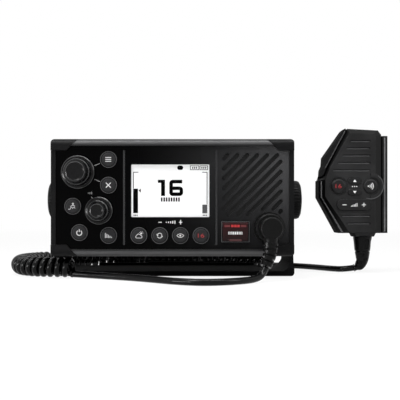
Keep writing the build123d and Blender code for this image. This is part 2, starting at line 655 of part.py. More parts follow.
def main_board():
    """Transceiver board on its four posts, with the screening can and the tall parts."""
    y_mid = (CHASSIS_FRONT + CHASSIS_REAR - CHASSIS_WALL) / 2
    z = main_board_z()
    board = Pos(0, y_mid, z) * Box(MAIN_BOARD_W, MAIN_BOARD_D, BOARD_T, align=UPRIGHT)
    board += Pos(CAN_X, y_mid, z + BOARD_T) * Box(CAN_W, CAN_D, CAN_H, align=UPRIGHT)
    board += Pos(-CAN_X, y_mid + RELAY_D / 2, z + BOARD_T) * Box(RELAY_W, RELAY_D, RELAY_H, align=UPRIGHT)
    for i in range(3):
        x = 2 * POST_R + CAPACITOR_R + CAPACITOR_PITCH * i - MAIN_BOARD_W / 2
        place = Pos(x, y_mid - RELAY_D, z + BOARD_T)
        board += place * Cylinder(CAPACITOR_R, CAPACITOR_H, align=UPRIGHT)
    return board


def chassis_gasket():
    ring = slab(chassis_outline(), BEZEL_BACK, CHASSIS_FRONT)
    ring -= slab(chassis_hole(), BEZEL_BACK, CHASSIS_FRONT)
    for x, z in screw_places():
        ring -= disc(x, z, SCREW_R + 0.2, BEZEL_BACK, CHASSIS_FRONT)
    return ring


def chassis_screws():
    """Four long screws that pull the bezel onto the chassis from behind."""
    screws = []
    head_back = CHASSIS_REAR
    for x, z in screw_places():
        screw = disc(x, z, SCREW_HEAD_R, head_back - SCREW_HEAD_T, head_back - 0.3)
        screw += disc(x, z, SCREW_R - 0.1, BEZEL_BACK - BEZEL_BACK_T, head_back - SCREW_HEAD_T)
        hexagon = Pos(x, z) * RegularPolygon(1.4, 6)
        screws.append(screw - slab(hexagon, head_back - 1.6, head_back))
    return screws


def rear_fitting(x, rise, r, length, flange):
    z = PANEL_Z + rise
    back = CHASSIS_REAR + length
    body = disc(x, z, r - 0.02, CHASSIS_REAR - CHASSIS_WALL, CHASSIS_REAR)
    body += disc(x, z, r, CHASSIS_REAR, back)
    plate = rounded(flange, flange, 2.0, x, z)
    return body + slab(plate, CHASSIS_REAR, CHASSIS_REAR + REAR_FLANGE_T)


def antenna_socket():
    body = rear_fitting(ANTENNA_X, ANTENNA_RISE, ANTENNA_R, ANTENNA_LEN, REAR_FLANGE)
    back, z = CHASSIS_REAR + ANTENNA_LEN, PANEL_Z + ANTENNA_RISE
    body -= disc(ANTENNA_X, z, ANTENNA_R - 1.6, back - 7.0, back)
    core = disc(ANTENNA_X, z, ANTENNA_BORE_R + 1.6, back - 7.0, back - 0.5)
    return body + core - disc(ANTENNA_X, z, ANTENNA_BORE_R, back - 8.0, back)


def network_socket():
    body = rear_fitting(NETWORK_X, NETWORK_RISE, NETWORK_R, NETWORK_LEN, NETWORK_FLANGE)
    back, z = CHASSIS_REAR + NETWORK_LEN, PANEL_Z + NETWORK_RISE
    body -= disc(NETWORK_X, z, NETWORK_R - 1.3, back - 6.0, back)
    for i in range(5):
        a = 2 * pi * i / 5
        body += disc(NETWORK_X + 2.4 * cos(a), z + 2.4 * sin(a), 0.5, back - 6.2, back - 1.5)
    return body


# ---- Bracket and clamp knobs ------------------------------------------------------------------------
def bracket():
    """Gimbal bracket: a bent U whose arms narrow to round heads about the tilt axis."""
    low, high = 0.0, PIVOT_Z + ARM_HEAD_R
    outer = Pos(0, (low + high) / 2) * Rectangle(BRACKET_W, high - low)
    inner = Pos(0, (BASE_T + high + 20) / 2) * Rectangle(2 * ARM_INNER, high + 20 - BASE_T)
    section = fillet(outer.vertices().group_by(Axis.Y)[0], ARM_OUTSIDE_R)
    section -= fillet(inner.vertices().group_by(Axis.Y)[0], ARM_INSIDE_R)
    body = slab(section, -BASE_DEPTH / 2, BASE_DEPTH / 2)
    foot, shoulder = BASE_DEPTH / 2, BASE_T + ARM_INSIDE_R
    reach = sqrt((ARM_FOOT / 2) ** 2 + (PIVOT_Z - shoulder) ** 2)
    slant = atan2(ARM_FOOT / 2, PIVOT_Z - shoulder)
    lean = slant - atan2(ARM_HEAD_R, sqrt(reach**2 - ARM_HEAD_R**2))
    tangent = (ARM_HEAD_R * cos(lean), PIVOT_Z + ARM_HEAD_R * sin(lean))
    half = [(foot, low), (foot, shoulder - 4.0), (ARM_FOOT / 2, shoulder), tangent]
    side = outline(mirrored([(y, z) for y, z in reversed(half)])) + Pos(0, PIVOT_Z) * Circle(ARM_HEAD_R)
    plane = Plane(origin=(-BRACKET_W / 2, 0, 0), x_dir=(0, 1, 0), z_dir=(1, 0, 0))
    body &= extrude(plane * side, BRACKET_W)
    for length, height in ((LIP_LEN, REAR_LIP_H), (LIP_HIGH_LEN, REAR_LIP_HIGH_H)):
        lip = Pos(0, BASE_DEPTH / 2 - REAR_LIP_T / 2, BASE_T) * Box(
            length, REAR_LIP_T, height - BASE_T, align=UPRIGHT
        )
        body += lip
    body -= bar_x(0, PIVOT_Z, STUD_R + STUD_HOLE_GAP, -ARM_OUTER, ARM_OUTER)
    for sx in (-1, 1):
        for sy in (-1, 1):
            place = Pos(sx * HOLE_SPACING_X / 2, sy * HOLE_SPACING_Y / 2)
            body -= place * Cylinder(HOLE_R, BASE_T, align=UPRIGHT)
    return body


def friction_pads():
    """The two rubber washers between the arms and the chassis' pivot bosses."""
    pads = []
    for side in (-1, 1):
        x0, x1 = sorted((side * (ARM_INNER - PAD_T), side * ARM_INNER))
        pad = bar_x(0, PIVOT_Z, PAD_R, x0, x1)
        pads.append(pad - bar_x(0, PIVOT_Z, STUD_R + STUD_HOLE_GAP, x0, x1))
    return pads


def clamp_knob(side):
    """A domed hand knob with a ribbed rim, on the outside of one arm."""
    x0 = ARM_OUTER + TILT_GAP
    dome = 1.6
    profile = [
        (STUD_R, 0),
        (CLAMP_R - 0.8, 0),
        (CLAMP_R, 0.8),
        (CLAMP_R, CLAMP_T - dome - CLAMP_EDGE_R),
        (CLAMP_R - 0.7, CLAMP_T - dome - 1.0),
        (CLAMP_R - CLAMP_EDGE_R, CLAMP_T - dome + 0.3),
        (CLAMP_R * 0.45, CLAMP_T - 0.3),
        (STUD_R, CLAMP_T),
    ]
    face = make_face(Polyline(*[(r, 0, d) for r, d in profile], close=True))
    body = revolve(face, Axis.Z, 360)
    groove = Pos(CLAMP_R + 0.25, 0, 1.6) * Cylinder(0.8, CLAMP_T - dome - 1.0, align=UPRIGHT)
    body -= ring_of(groove, CLAMP_RIBS, Axis.Z)
    plane = Plane(origin=(side * x0, 0, PIVOT_Z), x_dir=(0, 1, 0), z_dir=(side, 0, 0))
    return plane * body


def clamp_stud(side):
    """The knob's steel stud, which passes the arm and screws into the chassis' boss."""
    inner = PIVOT_BOSS_X - STUD_INTO_CHASSIS + 0.5
    outer = ARM_OUTER + TILT_GAP + CLAMP_T
    x0, x1 = sorted((side * inner, side * outer))
    return bar_x(0, PIVOT_Z, STUD_R, x0, x1)


# ---- Cord -----------------------------------------------------------------------------------------------
COIL_REST = COIL_D / 2 + 0.02

# The smooth length from the plug, along the surface in front of the radio, to the coil.
FRONT_ROUTE = [
    (71.55, -87.27, 11.35),
    (69.3, -89.0, 5.3),
    (62.5, -97.0, 2.8),
    (51.0, -108.0, 2.7),
    (37.0, -116.5, 2.7),
    (21.5, -119.0, 2.7),
    (5.5, -111.5, 2.7),
    (-9.0, -99.0, 2.7),
    (-24.5, -85.0, 2.7),
    (-41.0, -73.0, 2.7),
    (-58.0, -62.5, 2.7),
    (-71.0, -54.0, 2.8),
    (-81.0, -51.5, 3.2),
]
# The axis of the curly length: out to the left, round in a loose U and along behind the bracket.
COIL_ROUTE = [
    (-81.0, -50.0, COIL_REST),
    (-99.0, -49.0, COIL_REST),
    (-116.5, -41.0, COIL_REST),
    (-129.5, -25.0, COIL_REST),
    (-133.5, -3.0, COIL_REST),
    (-130.0, 19.0, COIL_REST),
    (-117.5, 37.0, COIL_REST),
    (-98.0, 47.0, COIL_REST),
    (-72.0, 50.0, COIL_REST),
    (-40.0, 48.6, COIL_REST),
    (-6.0, 49.4, COIL_REST),
    (28.0, 48.6, COIL_REST),
    (58.0, 49.2, COIL_REST),
    (84.0, 48.4, COIL_REST),
]
# The smooth length from the coil to the hand microphone.
REAR_ROUTE = [
    (84.0, 47.4, 3.4),
    (96.5, 48.2, 2.8),
    (110.0, 45.6, 2.7),
    (121.0, 35.5, 2.7),
    (130.5, 23.0, 2.7),
    (138.8, 10.6, 2.7),
    (147.4, 1.0, 2.9),
    (156.2, 1.0, 4.2),
]


def corner_radii(points):
    """Each corner's arc: 0.45 of its shorter run, divided by the tangent of half the turn."""
    radii = []
    for a, b, c in zip(points, points[1:], points[2:]):
        first, second = Vector(*b) - Vector(*a), Vector(*c) - Vector(*b)
        half = radians(first.get_angle(second)) / 2
        radii.append(0.45 * min(first.length, second.length) / tan(half))
    return radii


def tube(name, points, d):
    radii = corner_radii(points)
    path = FilletPolyline(*points, radius=radii)
    start = Plane(origin=path @ 0, z_dir=path % 0)
    body = sweep(start * Circle(d / 2), path=path)
    expected = pi * d * d / 4 * path.length
    print(name, "radii", [round(r, 1) for r in radii])
    print(name, "length", round(path.length, 1), "volume ratio", round(body.volume / expected, 4))
    return body


# ---- Hand microphone ------------------------------------------------------------------------------------
HAND_X, HAND_Z = 151.2, 34.8  # centre of its width, and its lower edge
HAND_FRONT, HAND_SPLIT, HAND_BACK = -14.0, 0.5, 16.0
HAND_LEFT, HAND_RIGHT = 27.2, 32.9  # from its centre line to the left bump and the rail's edge
HAND_BEVEL = 5.0
RAIL_W, RAIL_FRONT, RAIL_GAP, RAIL_TOP = 5.4, -7.5, 0.8, 83.9
HAND_BUTTON_R = 6.1
HAND_BUTTON_PROUD = 1.2
HAND_KEY_GAP = 0.15
HAND_KEY_TRAVEL = 0.7
HAND_KEY_SINK = 3.2
RED_BUTTON = (-11.1, 40.3)
ROUND_BUTTON = (16.4, 40.3)
BOSS_R, BOSS_PROUD, BOSS_RIM_W = 11.4, 0.8, 3.4
DISH_R, DISH_DEEP = 7.9, 0.6
PILL_W, PILL_H = 11.6, 5.2
UP_BUTTON, DOWN_BUTTON = (2.8, 44.9), (2.8, 35.2)
ROCKER_W, ROCKER_H = 29.6, 9.6
ROCKER_AT = (2.3, 24.3)
GROOVE_H, GROOVE_DEEP = 1.7, 0.9
GROOVE_RIGHT = 16.3
UPPER_GROOVES = [(78.9, -0.8), (72.7, -4.5), (66.5, -7.9), (60.2, -11.9), (53.8, -15.8)]
LOWER_GROOVES = [(14.8, -8.1), (8.3, -3.3)]
PTT_FRONT, PTT_BACK = -9.5, 8.0
PTT_PIVOT_FRONT, PTT_PIVOT_BACK = -8.3, 6.8
PTT_PIVOT = (-3.8, 86.1)
PTT_PIVOT_R, PTT_PIVOT_FIT = 1.6, 0.06
LEVER_WEB_T, LEVER_WEB_INSET = 2.0, 0.8
GLAND_AT = 12.6
GLAND_W, GLAND_D, GLAND_H = 22.0, 15.4, 3.2
BOOT_R0, BOOT_R1, BOOT_R2 = 8.0, 6.7, 3.4
BOOT_GROOVE_W, BOOT_GROOVE_DEEP = 0.9, 0.7
BOOT_SLOTS, BOOT_SLOT_W, BOOT_SLOT_H, BOOT_SLOT_DEEP = 4, 5.2, 2.0, 1.6
BOOT_WINDOW_W, BOOT_WINDOW_H, BOOT_WINDOW_X = 4.0, 8.6, 2.3
BOOT_KNEE = 0.4  # share of the boot's length at which it starts to narrow faster
BOOT_BEND_R = 8.4
BOOT_SECTIONS = 8
STUD_HEAD_R, STUD_NECK_R, HANGER_LEN = 7.0, 4.5, 6.0
HANGER_AT = (2.0, 46.0)
HAND_SPEAKER_AT, HAND_SPEAKER_R, HAND_MAGNET_R = (4.5, 58.0), 9.5, 7.0
HAND_SCREW_R, HAND_SCREW_T, HAND_SCREW_SINK = 2.6, 1.8, 0.4
HAND_SCREW_PLACES = [(-12.0, 12.0), (16.0, 12.0), (16.0, 74.0), (-4.0, 74.0)]


def hand(points):
    """Points given from the microphone's centre line and lower edge, in the row's X and Z."""
    return outline([(HAND_X + x, HAND_Z + z) for x, z in points])


def hand_disc(place, r, front, back):
    return disc(HAND_X + place[0], HAND_Z + place[1], r, front, back)


def hand_pill(place, w, h, front, back, grow=0.0):
    shape = Pos(HAND_X + place[0], HAND_Z + place[1]) * SlotOverall(w + 2 * grow, h + 2 * grow)
    return slab(shape, front, back)


BODY_RIGHT = HAND_RIGHT - RAIL_W - RAIL_GAP
SLOPE_TOP, SLOPE_FOOT = (-2.4, 89.9), (-19.6, 54.6)
BODY = [
    (BODY_RIGHT, 0.0),
    (BODY_RIGHT, 84.8),
    (BODY_RIGHT - 2.9, 88.5),
    SLOPE_TOP,
    SLOPE_FOOT,
    (-21.6, 49.2),
    (-HAND_LEFT, 45.2),
    (-HAND_LEFT, 30.7),
    (-10.5, 0.0),
]
FACE = [
    (BODY_RIGHT - 5.7, 0.6),
    (BODY_RIGHT - 5.7, 83.0),
    (BODY_RIGHT - 7.2, 85.1),
    (-1.6, 85.9),
    (-18.8, 54.6),
    (-20.4, 50.4),
    (-22.3, 45.8),
    (-22.3, 31.2),
    (-1.6, 0.6),
]
LEVER = [
    (-3.3, 89.0),
    (-4.4, 90.2),
    (-6.4, 88.6),
    (-22.6, 65.4),
    (-23.1, 58.4),
    (-24.8, 54.5),
    (-25.2, 48.8),
    (-22.9, 50.4),
    (-21.1, 55.3),
]
WEB_ROOT = [  # joins the web behind the lever to the shell, and closes the notch below the lever
    (SLOPE_TOP[0] + 1.5, SLOPE_TOP[1] - 3.0),
    LEVER[0],
    LEVER[-1],
    (-23.8, 52.6),
    (-25.9, 46.4),
    (-21.6, 46.2),
    (SLOPE_FOOT[0] + 1.5, SLOPE_FOOT[1]),
]
BACK = [(x * 0.86 + 1.2, z * 0.93 + 2.6) for x, z in BODY]
HOLLOW = [(x * 0.72, z * 0.72 + 11.0) for x, z in BODY]


def handset_front():
    """The front shell: a bevelled face with grooves, button holes and the ring boss on its right."""
    mid = HAND_FRONT + HAND_BEVEL
    body = loft([front_plane(mid) * hand(BODY), front_plane(HAND_FRONT) * hand(FACE)], ruled=True)
    body += slab(hand(BODY), mid, HAND_SPLIT)
    body += hand_disc(ROUND_BUTTON, BOSS_R, HAND_FRONT, mid + 1.0)
    rim = hand_disc(ROUND_BUTTON, BOSS_R, HAND_FRONT - BOSS_PROUD, HAND_FRONT)
    rim -= hand_disc(ROUND_BUTTON, BOSS_R - BOSS_RIM_W, HAND_FRONT - BOSS_PROUD, HAND_FRONT)
    right = Pos(HAND_X + ROUND_BUTTON[0] + BOSS_R, HAND_Z + ROUND_BUTTON[1])
    body += rim & slab(right * Rectangle(2 * BOSS_R, 2 * BOSS_R), HAND_FRONT - BOSS_PROUD, HAND_FRONT)
    for z, left in UPPER_GROOVES + LOWER_GROOVES:
        middle = ((left + GROOVE_RIGHT) / 2, z)
        body -= hand_pill(middle, GROOVE_RIGHT - left, GROOVE_H, HAND_FRONT, HAND_FRONT + GROOVE_DEEP)
    deep = HAND_FRONT + HAND_KEY_SINK + HAND_KEY_TRAVEL
    for place in (RED_BUTTON, ROUND_BUTTON):
        body -= hand_disc(place, HAND_BUTTON_R + HAND_KEY_GAP, HAND_FRONT - BOSS_PROUD, deep)
    body -= hand_disc(RED_BUTTON, DISH_R, HAND_FRONT, HAND_FRONT + DISH_DEEP)
    for place in (UP_BUTTON, DOWN_BUTTON):
        body -= hand_pill(place, PILL_W, PILL_H, HAND_FRONT, deep, HAND_KEY_GAP)
    body -= hand_pill(ROCKER_AT, ROCKER_W, ROCKER_H, HAND_FRONT, deep, HAND_KEY_GAP)
    return body - slab(hand(HOLLOW), deep + 2.0, HAND_SPLIT) - ptt_socket()


def handset_back():
    """The rear shell, which carries the side rail and tapers to the back."""
    deep = HAND_BACK - 6.0
    body = slab(hand(BODY), HAND_SPLIT, deep)
    body += loft([front_plane(deep) * hand(BODY), front_plane(HAND_BACK) * hand(BACK)], ruled=True)
    rail = Pos(HAND_X + HAND_RIGHT - RAIL_W / 2, HAND_Z + RAIL_TOP / 2) * Rectangle(RAIL_W, RAIL_TOP)
    solid_rail = slab(rail, RAIL_FRONT, deep)
    front_edges = solid_rail.edges().filter_by(Axis.Z).group_by(Axis.Y)[0]
    body += fillet(front_edges, 1.6)
    web = Pos(HAND_X + BODY_RIGHT + RAIL_GAP / 2, HAND_Z + RAIL_TOP / 2) * Rectangle(RAIL_GAP + 1, RAIL_TOP)
    body += slab(web, HAND_SPLIT, deep)
    backing = offset(hand(LEVER), -LEVER_WEB_INSET) + hand(WEB_ROOT)
    body += slab(backing, PTT_BACK + SEAT_GAP, PTT_BACK + SEAT_GAP + LEVER_WEB_T)
    body -= slab(hand(HOLLOW), HAND_SPLIT, HAND_BACK - 4.5)
    for x, z in HAND_SCREW_PLACES:
        floor = HAND_BACK - HAND_SCREW_SINK - HAND_SCREW_T
        body -= disc(HAND_X + x, HAND_Z + z, HAND_SCREW_R + 0.3, floor, HAND_BACK)
    return body - ptt_socket()


def handset_screws():
    back = HAND_BACK - HAND_SCREW_SINK
    return [
        disc(HAND_X + x, HAND_Z + z, HAND_SCREW_R, back - HAND_SCREW_T, back)
        for x, z in HAND_SCREW_PLACES
    ]


def handset_board():
    return slab(hand(HOLLOW), HAND_SPLIT - 2.2, HAND_SPLIT - 2.2 + BOARD_T)


def handset_speaker():
    cone = HAND_SPLIT - 2.2 + BOARD_T
    body = hand_disc(HAND_SPEAKER_AT, HAND_SPEAKER_R, cone, HAND_SPLIT + 4.0)
    return body + hand_disc(HAND_SPEAKER_AT, HAND_MAGNET_R, HAND_SPLIT + 4.0, HAND_BACK - 4.5)


def ptt_lever():
    """The push-to-talk bar on the upper left slope, hung on a moulded pivot at its top."""
    body = slab(hand(LEVER), PTT_FRONT, PTT_BACK)
    return body + hand_disc(PTT_PIVOT, PTT_PIVOT_R, PTT_PIVOT_FRONT, PTT_PIVOT_BACK)


def ptt_socket():
    """The part-round seat in both shells that the lever's moulded pivot snaps into."""
    front, back = PTT_PIVOT_FRONT - PTT_PIVOT_FIT, PTT_PIVOT_BACK + PTT_PIVOT_FIT
    return hand_disc(PTT_PIVOT, PTT_PIVOT_R + PTT_PIVOT_FIT, front, back)


def round_button(place):
    proud = HAND_BUTTON_PROUD
    profile = [
        (0, proud - 0.3),
        (HAND_BUTTON_R - 1.2, proud),
        (HAND_BUTTON_R - 0.2, proud - 0.5),
        (HAND_BUTTON_R, proud - 1.2),
        (HAND_BUTTON_R, -HAND_KEY_SINK),
        (0, -HAND_KEY_SINK),
    ]
    return turned(profile, HAND_X + place[0], HAND_Z + place[1], HAND_FRONT)


def pill_button(place, w, h, proud):
    body = hand_pill(place, w, h, HAND_FRONT - proud, HAND_FRONT + HAND_KEY_SINK)
    return fillet(body.edges().group_by(Axis.Y)[0], 0.5)


def handset_gland():
    """The stepped collar under the shell."""
    x = HAND_X + GLAND_AT
    y = (HAND_FRONT + HAND_BACK) / 2
    top = Plane(origin=(x, y, HAND_Z), x_dir=(1, 0, 0), z_dir=(0, 0, -1))
    wide = top * RectangleRounded(GLAND_W, GLAND_D, 4.0)
    narrow = top.offset(GLAND_H) * RectangleRounded(GLAND_W - 3.0, GLAND_D - 2.0, 3.6)
    return loft([wide, narrow])


def boot_path():
    """The boot's centre line: down from the gland, then round towards the cord on the surface."""
    x, y = HAND_X + GLAND_AT, (HAND_FRONT + HAND_BACK) / 2
    end, before = Vector(*REAR_ROUTE[-1]), Vector(*REAR_ROUTE[-2])
    away = (end - before).normalized()
    last = end + away * CORD_GAP
    corner = last + away * ((x - last.X) / away.X)
    return FilletPolyline((x, y, HAND_Z - GLAND_H), corner, last, radius=BOOT_BEND_R)


def handset_relief():
    """The rubber boot: a tapered sleeve with windows, a groove and slots, bent towards the cord."""
    radii = []
    for i in range(BOOT_SECTIONS + 1):
        t = i / BOOT_SECTIONS
        upper = BOOT_R0 + (BOOT_R1 - BOOT_R0) * min(t / BOOT_KNEE, 1.0)
        radii.append(upper + (BOOT_R2 - BOOT_R1) * max(t - BOOT_KNEE, 0.0) / (1.0 - BOOT_KNEE))
    path = boot_path()
    body = sleeve(path, radii) - boot_groove(path)
    for side in (-1, 1):
        window = Plane(origin=path @ (BOOT_KNEE / 2), x_dir=(1, 0, 0), z_dir=(0, side, 0))
        pocket = window * Pos(BOOT_WINDOW_X, 0) * RectangleRounded(BOOT_WINDOW_W, BOOT_WINDOW_H, 1.2)
        body -= extrude(pocket.moved(Pos(0, side * (BOOT_R1 - BOOT_SLOT_DEEP), 0)), BOOT_R0)
        for i in range(BOOT_SLOTS):
            body -= boot_slot(path, i, side)
    return body


def boot_groove(path):
    """A ring that marks the boot's knee, above which it is stiff and below which it bends."""
    knee = Plane(origin=path @ BOOT_KNEE, z_dir=path % BOOT_KNEE)
    ring = Circle(BOOT_R0) - Circle(BOOT_R1 - BOOT_GROOVE_DEEP)
    return extrude(knee * ring, BOOT_GROOVE_W)


def boot_slot(path, i, side):
    """One of the staggered slots across the front or back of the boot's bend."""
    t = BOOT_KNEE + 0.08 + (0.86 - BOOT_KNEE) * i / BOOT_SLOTS
    place = Plane(origin=path @ t, x_dir=(0, 1, 0), z_dir=path % t)
    r = BOOT_R1 + (BOOT_R2 - BOOT_R1) * (t - BOOT_KNEE) / (1 - BOOT_KNEE)
    across = BOOT_SLOT_W * r / BOOT_R1
    stagger = across * (0.45 if i % 2 else -0.45)
    block = Pos(side * (2 * r - BOOT_SLOT_DEEP), stagger) * Rectangle(2 * r, across)
    return extrude(place * block, BOOT_SLOT_H)


def hanger_stud():
    """The button on the back that hooks into a bulkhead clip."""
    x, z = HAND_X + HANGER_AT[0], HAND_Z + HANGER_AT[1]
    neck = disc(x, z, STUD_NECK_R, HAND_BACK, HAND_BACK + HANGER_LEN - 2.0)
    head = disc(x, z, STUD_HEAD_R, HAND_BACK + HANGER_LEN - 2.0, HAND_BACK + HANGER_LEN)
    return neck + fillet(head.edges().filter_by(GeomType.CIRCLE), 0.7)


# ---- Build -------------------------------------------------------------------------------------------------
def build_radio():
    envelope = bezel_envelope()
    write("front_bezel", front_bezel(envelope))
    write("top_trim", envelope & trim_prism(1))
    write("bottom_trim", envelope & trim_prism(-1))
    write("faceplate", faceplate())
    write("divider_bars", *[divider(x) for x in DIVIDER_X])
    lens = rounded(WINDOW_W, WINDOW_H, 0.8, WINDOW_X, PANEL_Z + WINDOW_RISE)
    write("display_lens", slab(lens, FACE_BACK - LENS_T, FACE_BACK))
    write("lcd_panel", window_box(LCD_MARGIN, FACE_BACK, BOARD_FRONT))
    write("grille_backing", grille_backing())
    write("speaker", speaker())
    write("key_mat", key_mat())
    write("control_board", *control_board())
    write("chassis_gasket", chassis_gasket())
    write("rear_chassis", rear_chassis())
    write("main_board", main_board())
    write("chassis_screws", *chassis_screws())
    write("antenna_socket", antenna_socket())
    write("network_socket", network_socket())
    for name, (x, rise) in KEY_PLACES.items():
        write(name, key(x, PANEL_Z + rise))
    for name, spec in (("channel", CHANNEL_KNOB), ("volume", VOLUME_KNOB)):
        write(f"{name}_knob", knob_solid(spec))
        write(f"{name}_shaft", shaft(spec))
    write("distress_frame", distress_frame())
    write("distress_cover", distress_cover())
    write("distress_button", distress_button())


def build_bracket():
    write("bracket", bracket())
    write("friction_pads", *friction_pads())
    for name, side in (("left", -1), ("right", 1)):
        write(f"clamp_knob_{name}", clamp_knob(side))
        write(f"clamp_stud_{name}", clamp_stud(side))


def build_cord():
    write("mic_socket", mic_socket())
    write("coupling_ring", coupling_ring())
    write("plug_body", plug_body())
    write("plug_relief", plug_relief())
    write("cord_front", tube("cord_front", FRONT_ROUTE, CORD_D))
    write("cord_coil", tube("cord_coil", COIL_ROUTE, COIL_D))
    write("cord_rear", tube("cord_rear", REAR_ROUTE, CORD_D))


def build_handset():
    write("handset_front", handset_front())
    write("handset_back", handset_back())
    write("handset_screws", *handset_screws())
    write("handset_board", handset_board())
    write("handset_speaker", handset_speaker())
    write("ptt_lever", ptt_lever())
    write("button_red", round_button(RED_BUTTON))
    write("button_round", round_button(ROUND_BUTTON))
    write("button_up", pill_button(UP_BUTTON, PILL_W, PILL_H, 0.8))
    write("button_down", pill_button(DOWN_BUTTON, PILL_W, PILL_H, 0.8))
    write("volume_rocker", pill_button(ROCKER_AT, ROCKER_W, ROCKER_H, 0.9))
    write("handset_gland", handset_gland())
    write("handset_relief", handset_relief())
    write("hanger_stud", hanger_stud())


if __name__ == "__main__":
    os.makedirs("parts", exist_ok=True)
    build_radio()
    build_bracket()
    build_cord()
    build_handset()
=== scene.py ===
# %% [markdown]
# A marine VHF radio stands in its U-shaped bracket, with a hand microphone on a curly cord beside
# it. The engineering model of every rigid piece is already made, so this lesson dresses it: it
# gives each piece its finish, prints the marks on the keys and the display, and winds the cord.
# The model is loaded first as a fixed frame, and every later piece takes its place from it.

# %% Load the frame
from math import cos, pi, radians, sin, sqrt

import bmesh
import bpy
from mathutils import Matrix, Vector


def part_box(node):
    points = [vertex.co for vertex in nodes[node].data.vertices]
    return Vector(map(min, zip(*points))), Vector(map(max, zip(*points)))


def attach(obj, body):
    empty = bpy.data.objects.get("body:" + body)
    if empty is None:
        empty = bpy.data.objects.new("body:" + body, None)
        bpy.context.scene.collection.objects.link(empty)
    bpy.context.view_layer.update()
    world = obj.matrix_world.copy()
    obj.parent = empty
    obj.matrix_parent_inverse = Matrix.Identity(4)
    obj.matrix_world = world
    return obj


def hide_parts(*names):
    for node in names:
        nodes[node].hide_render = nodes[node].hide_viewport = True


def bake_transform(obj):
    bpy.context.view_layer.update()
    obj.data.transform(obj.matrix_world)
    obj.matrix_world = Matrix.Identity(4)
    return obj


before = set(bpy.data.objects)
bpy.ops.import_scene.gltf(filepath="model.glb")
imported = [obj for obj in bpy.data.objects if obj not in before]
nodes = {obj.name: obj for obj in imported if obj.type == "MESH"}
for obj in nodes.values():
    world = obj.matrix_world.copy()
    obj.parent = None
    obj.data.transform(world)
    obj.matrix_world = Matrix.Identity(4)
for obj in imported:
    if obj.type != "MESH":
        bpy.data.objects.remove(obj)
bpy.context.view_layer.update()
MM = 0.001  # every drawn size below is in millimetres, and Blender works in metres


def placed(name, data):
    """A new object for some data, in the scene and in the row's own place."""
    made = bpy.data.objects.new(name, data)
    bpy.context.scene.collection.objects.link(made)
    return made


def middle_of(node):
    """The middle of a node's box, seen from the front: x and z."""
    low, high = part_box(node)
    return (low.x + high.x) / 2, (low.z + high.z) / 2


# %% [markdown]
# A product picture is taken from straight in front with a fairly long lens, which keeps the
# panel's edges parallel. The camera looks along the row's +Y, level with the lower half of the
# panel. A small vertical shift moves the frame up without tilting the camera, so upright edges
# stay upright.

# %% Camera
PANEL_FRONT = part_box("faceplate")[0].y
CAMERA_AWAY = 0.6
FRAME_WIDE = 0.316  # how much of the panel's plane the picture takes in, across
SENSOR = 36.0
CAMERA_X, CAMERA_Z, SHIFT_UP = 0.0217, 0.0547, 0.025

lens = bpy.data.cameras.new("product_camera")
lens.sensor_width = SENSOR
lens.lens = SENSOR * CAMERA_AWAY / FRAME_WIDE
lens.shift_y = SHIFT_UP
camera = placed("product_camera", lens)
camera.location = (CAMERA_X, PANEL_FRONT - CAMERA_AWAY, CAMERA_Z)
camera.rotation_euler = (radians(90), 0, 0)
bpy.context.scene.camera = camera
bpy.context.scene.view_settings.view_transform = "Standard"
print("lens", round(lens.lens, 1), "mm")

# %% [markdown]
# Shader maths is easier to read as arithmetic than as a list of nodes and links. This small class
# wraps one output socket: adding or multiplying two of them adds a Math node, and `node` adds any
# other kind, with its settings first and then its sockets. `axis` takes one coordinate out of a
# place, `ramp` stretches a range of values to 0 to 1, and `between` mixes two colours.

# %% The socket class
class Wire:
    """One output socket of a node tree, on which + - * work as they do on numbers."""

    def __init__(self, tree, socket):
        self.tree, self.socket = tree, socket

    def node(self, kind, settings=None, out=0, **sockets):
        """Add a node: its settings are set first, then each socket takes a number or a Wire."""
        made = self.tree.nodes.new(kind)
        for name, value in (settings or {}).items():
            setattr(made, name, value)
        for name, value in sockets.items():
            key = int(name[1:]) if name[1:].isdigit() else name.replace("_", " ")
            if isinstance(value, Wire):
                self.tree.links.new(value.socket, made.inputs[key])
            else:
                made.inputs[key].default_value = value
        return Wire(self.tree, made.outputs[out])

    def maths(self, operation, a, b):
        return self.node("ShaderNodeMath", {"operation": operation}, _0=a, _1=b)

    def __add__(self, other):
        return self.maths("ADD", self, other)

    def __radd__(self, other):
        return self.maths("ADD", other, self)

    def __sub__(self, other):
        return self.maths("SUBTRACT", self, other)

    def __rsub__(self, other):
        return self.maths("SUBTRACT", other, self)

    def __mul__(self, other):
        return self.maths("MULTIPLY", self, other)

    def __rmul__(self, other):
        return self.maths("MULTIPLY", other, self)

    def __abs__(self):
        return self.maths("ABSOLUTE", self, 0.0)

    def axis(self, letter):
        """One coordinate of a place or a direction."""
        return self.node("ShaderNodeSeparateXYZ", out="xyz".index(letter), Vector=self)

    def ramp(self, starts, ends, low=0.0, high=1.0, kind="LINEAR"):
        """`low` where the value is `starts` and `high` where it is `ends`, and never outside these."""
        settings = {"interpolation_type": kind}
        return self.node("ShaderNodeMapRange", settings, _0=self, _1=starts, _2=ends, _3=low, _4=high)

    def between(self, dark, light):
        """A colour from `dark` to `light` as this value goes from 0 to 1."""
        mix = {"data_type": "RGBA"}
        return self.node("ShaderNodeMix", mix, out=2, _0=self, _6=(*dark, 1), _7=(*light, 1))


print("a Wire adds, subtracts, multiplies, ramps and mixes")

# %% [markdown]
# A finish is a Principled shader whose constants are set on its own sockets, and a recipe for what
# varies over the surface. The recipe gets the place on the piece in metres, so a grain of a given
# size is the same on every piece. `relief` turns a height into a Bump, over a Bevel node that
# rounds sharp edges by a fraction of a millimetre, because that small round is what catches the
# light. `gloss` is the strength of the surface's mirror reflection. It is low for these blacks,
# since in a white room what they mirror is most of what makes them grey.

# %% Finishes
PLAIN_GLOSS = 0.5
finishes = {}


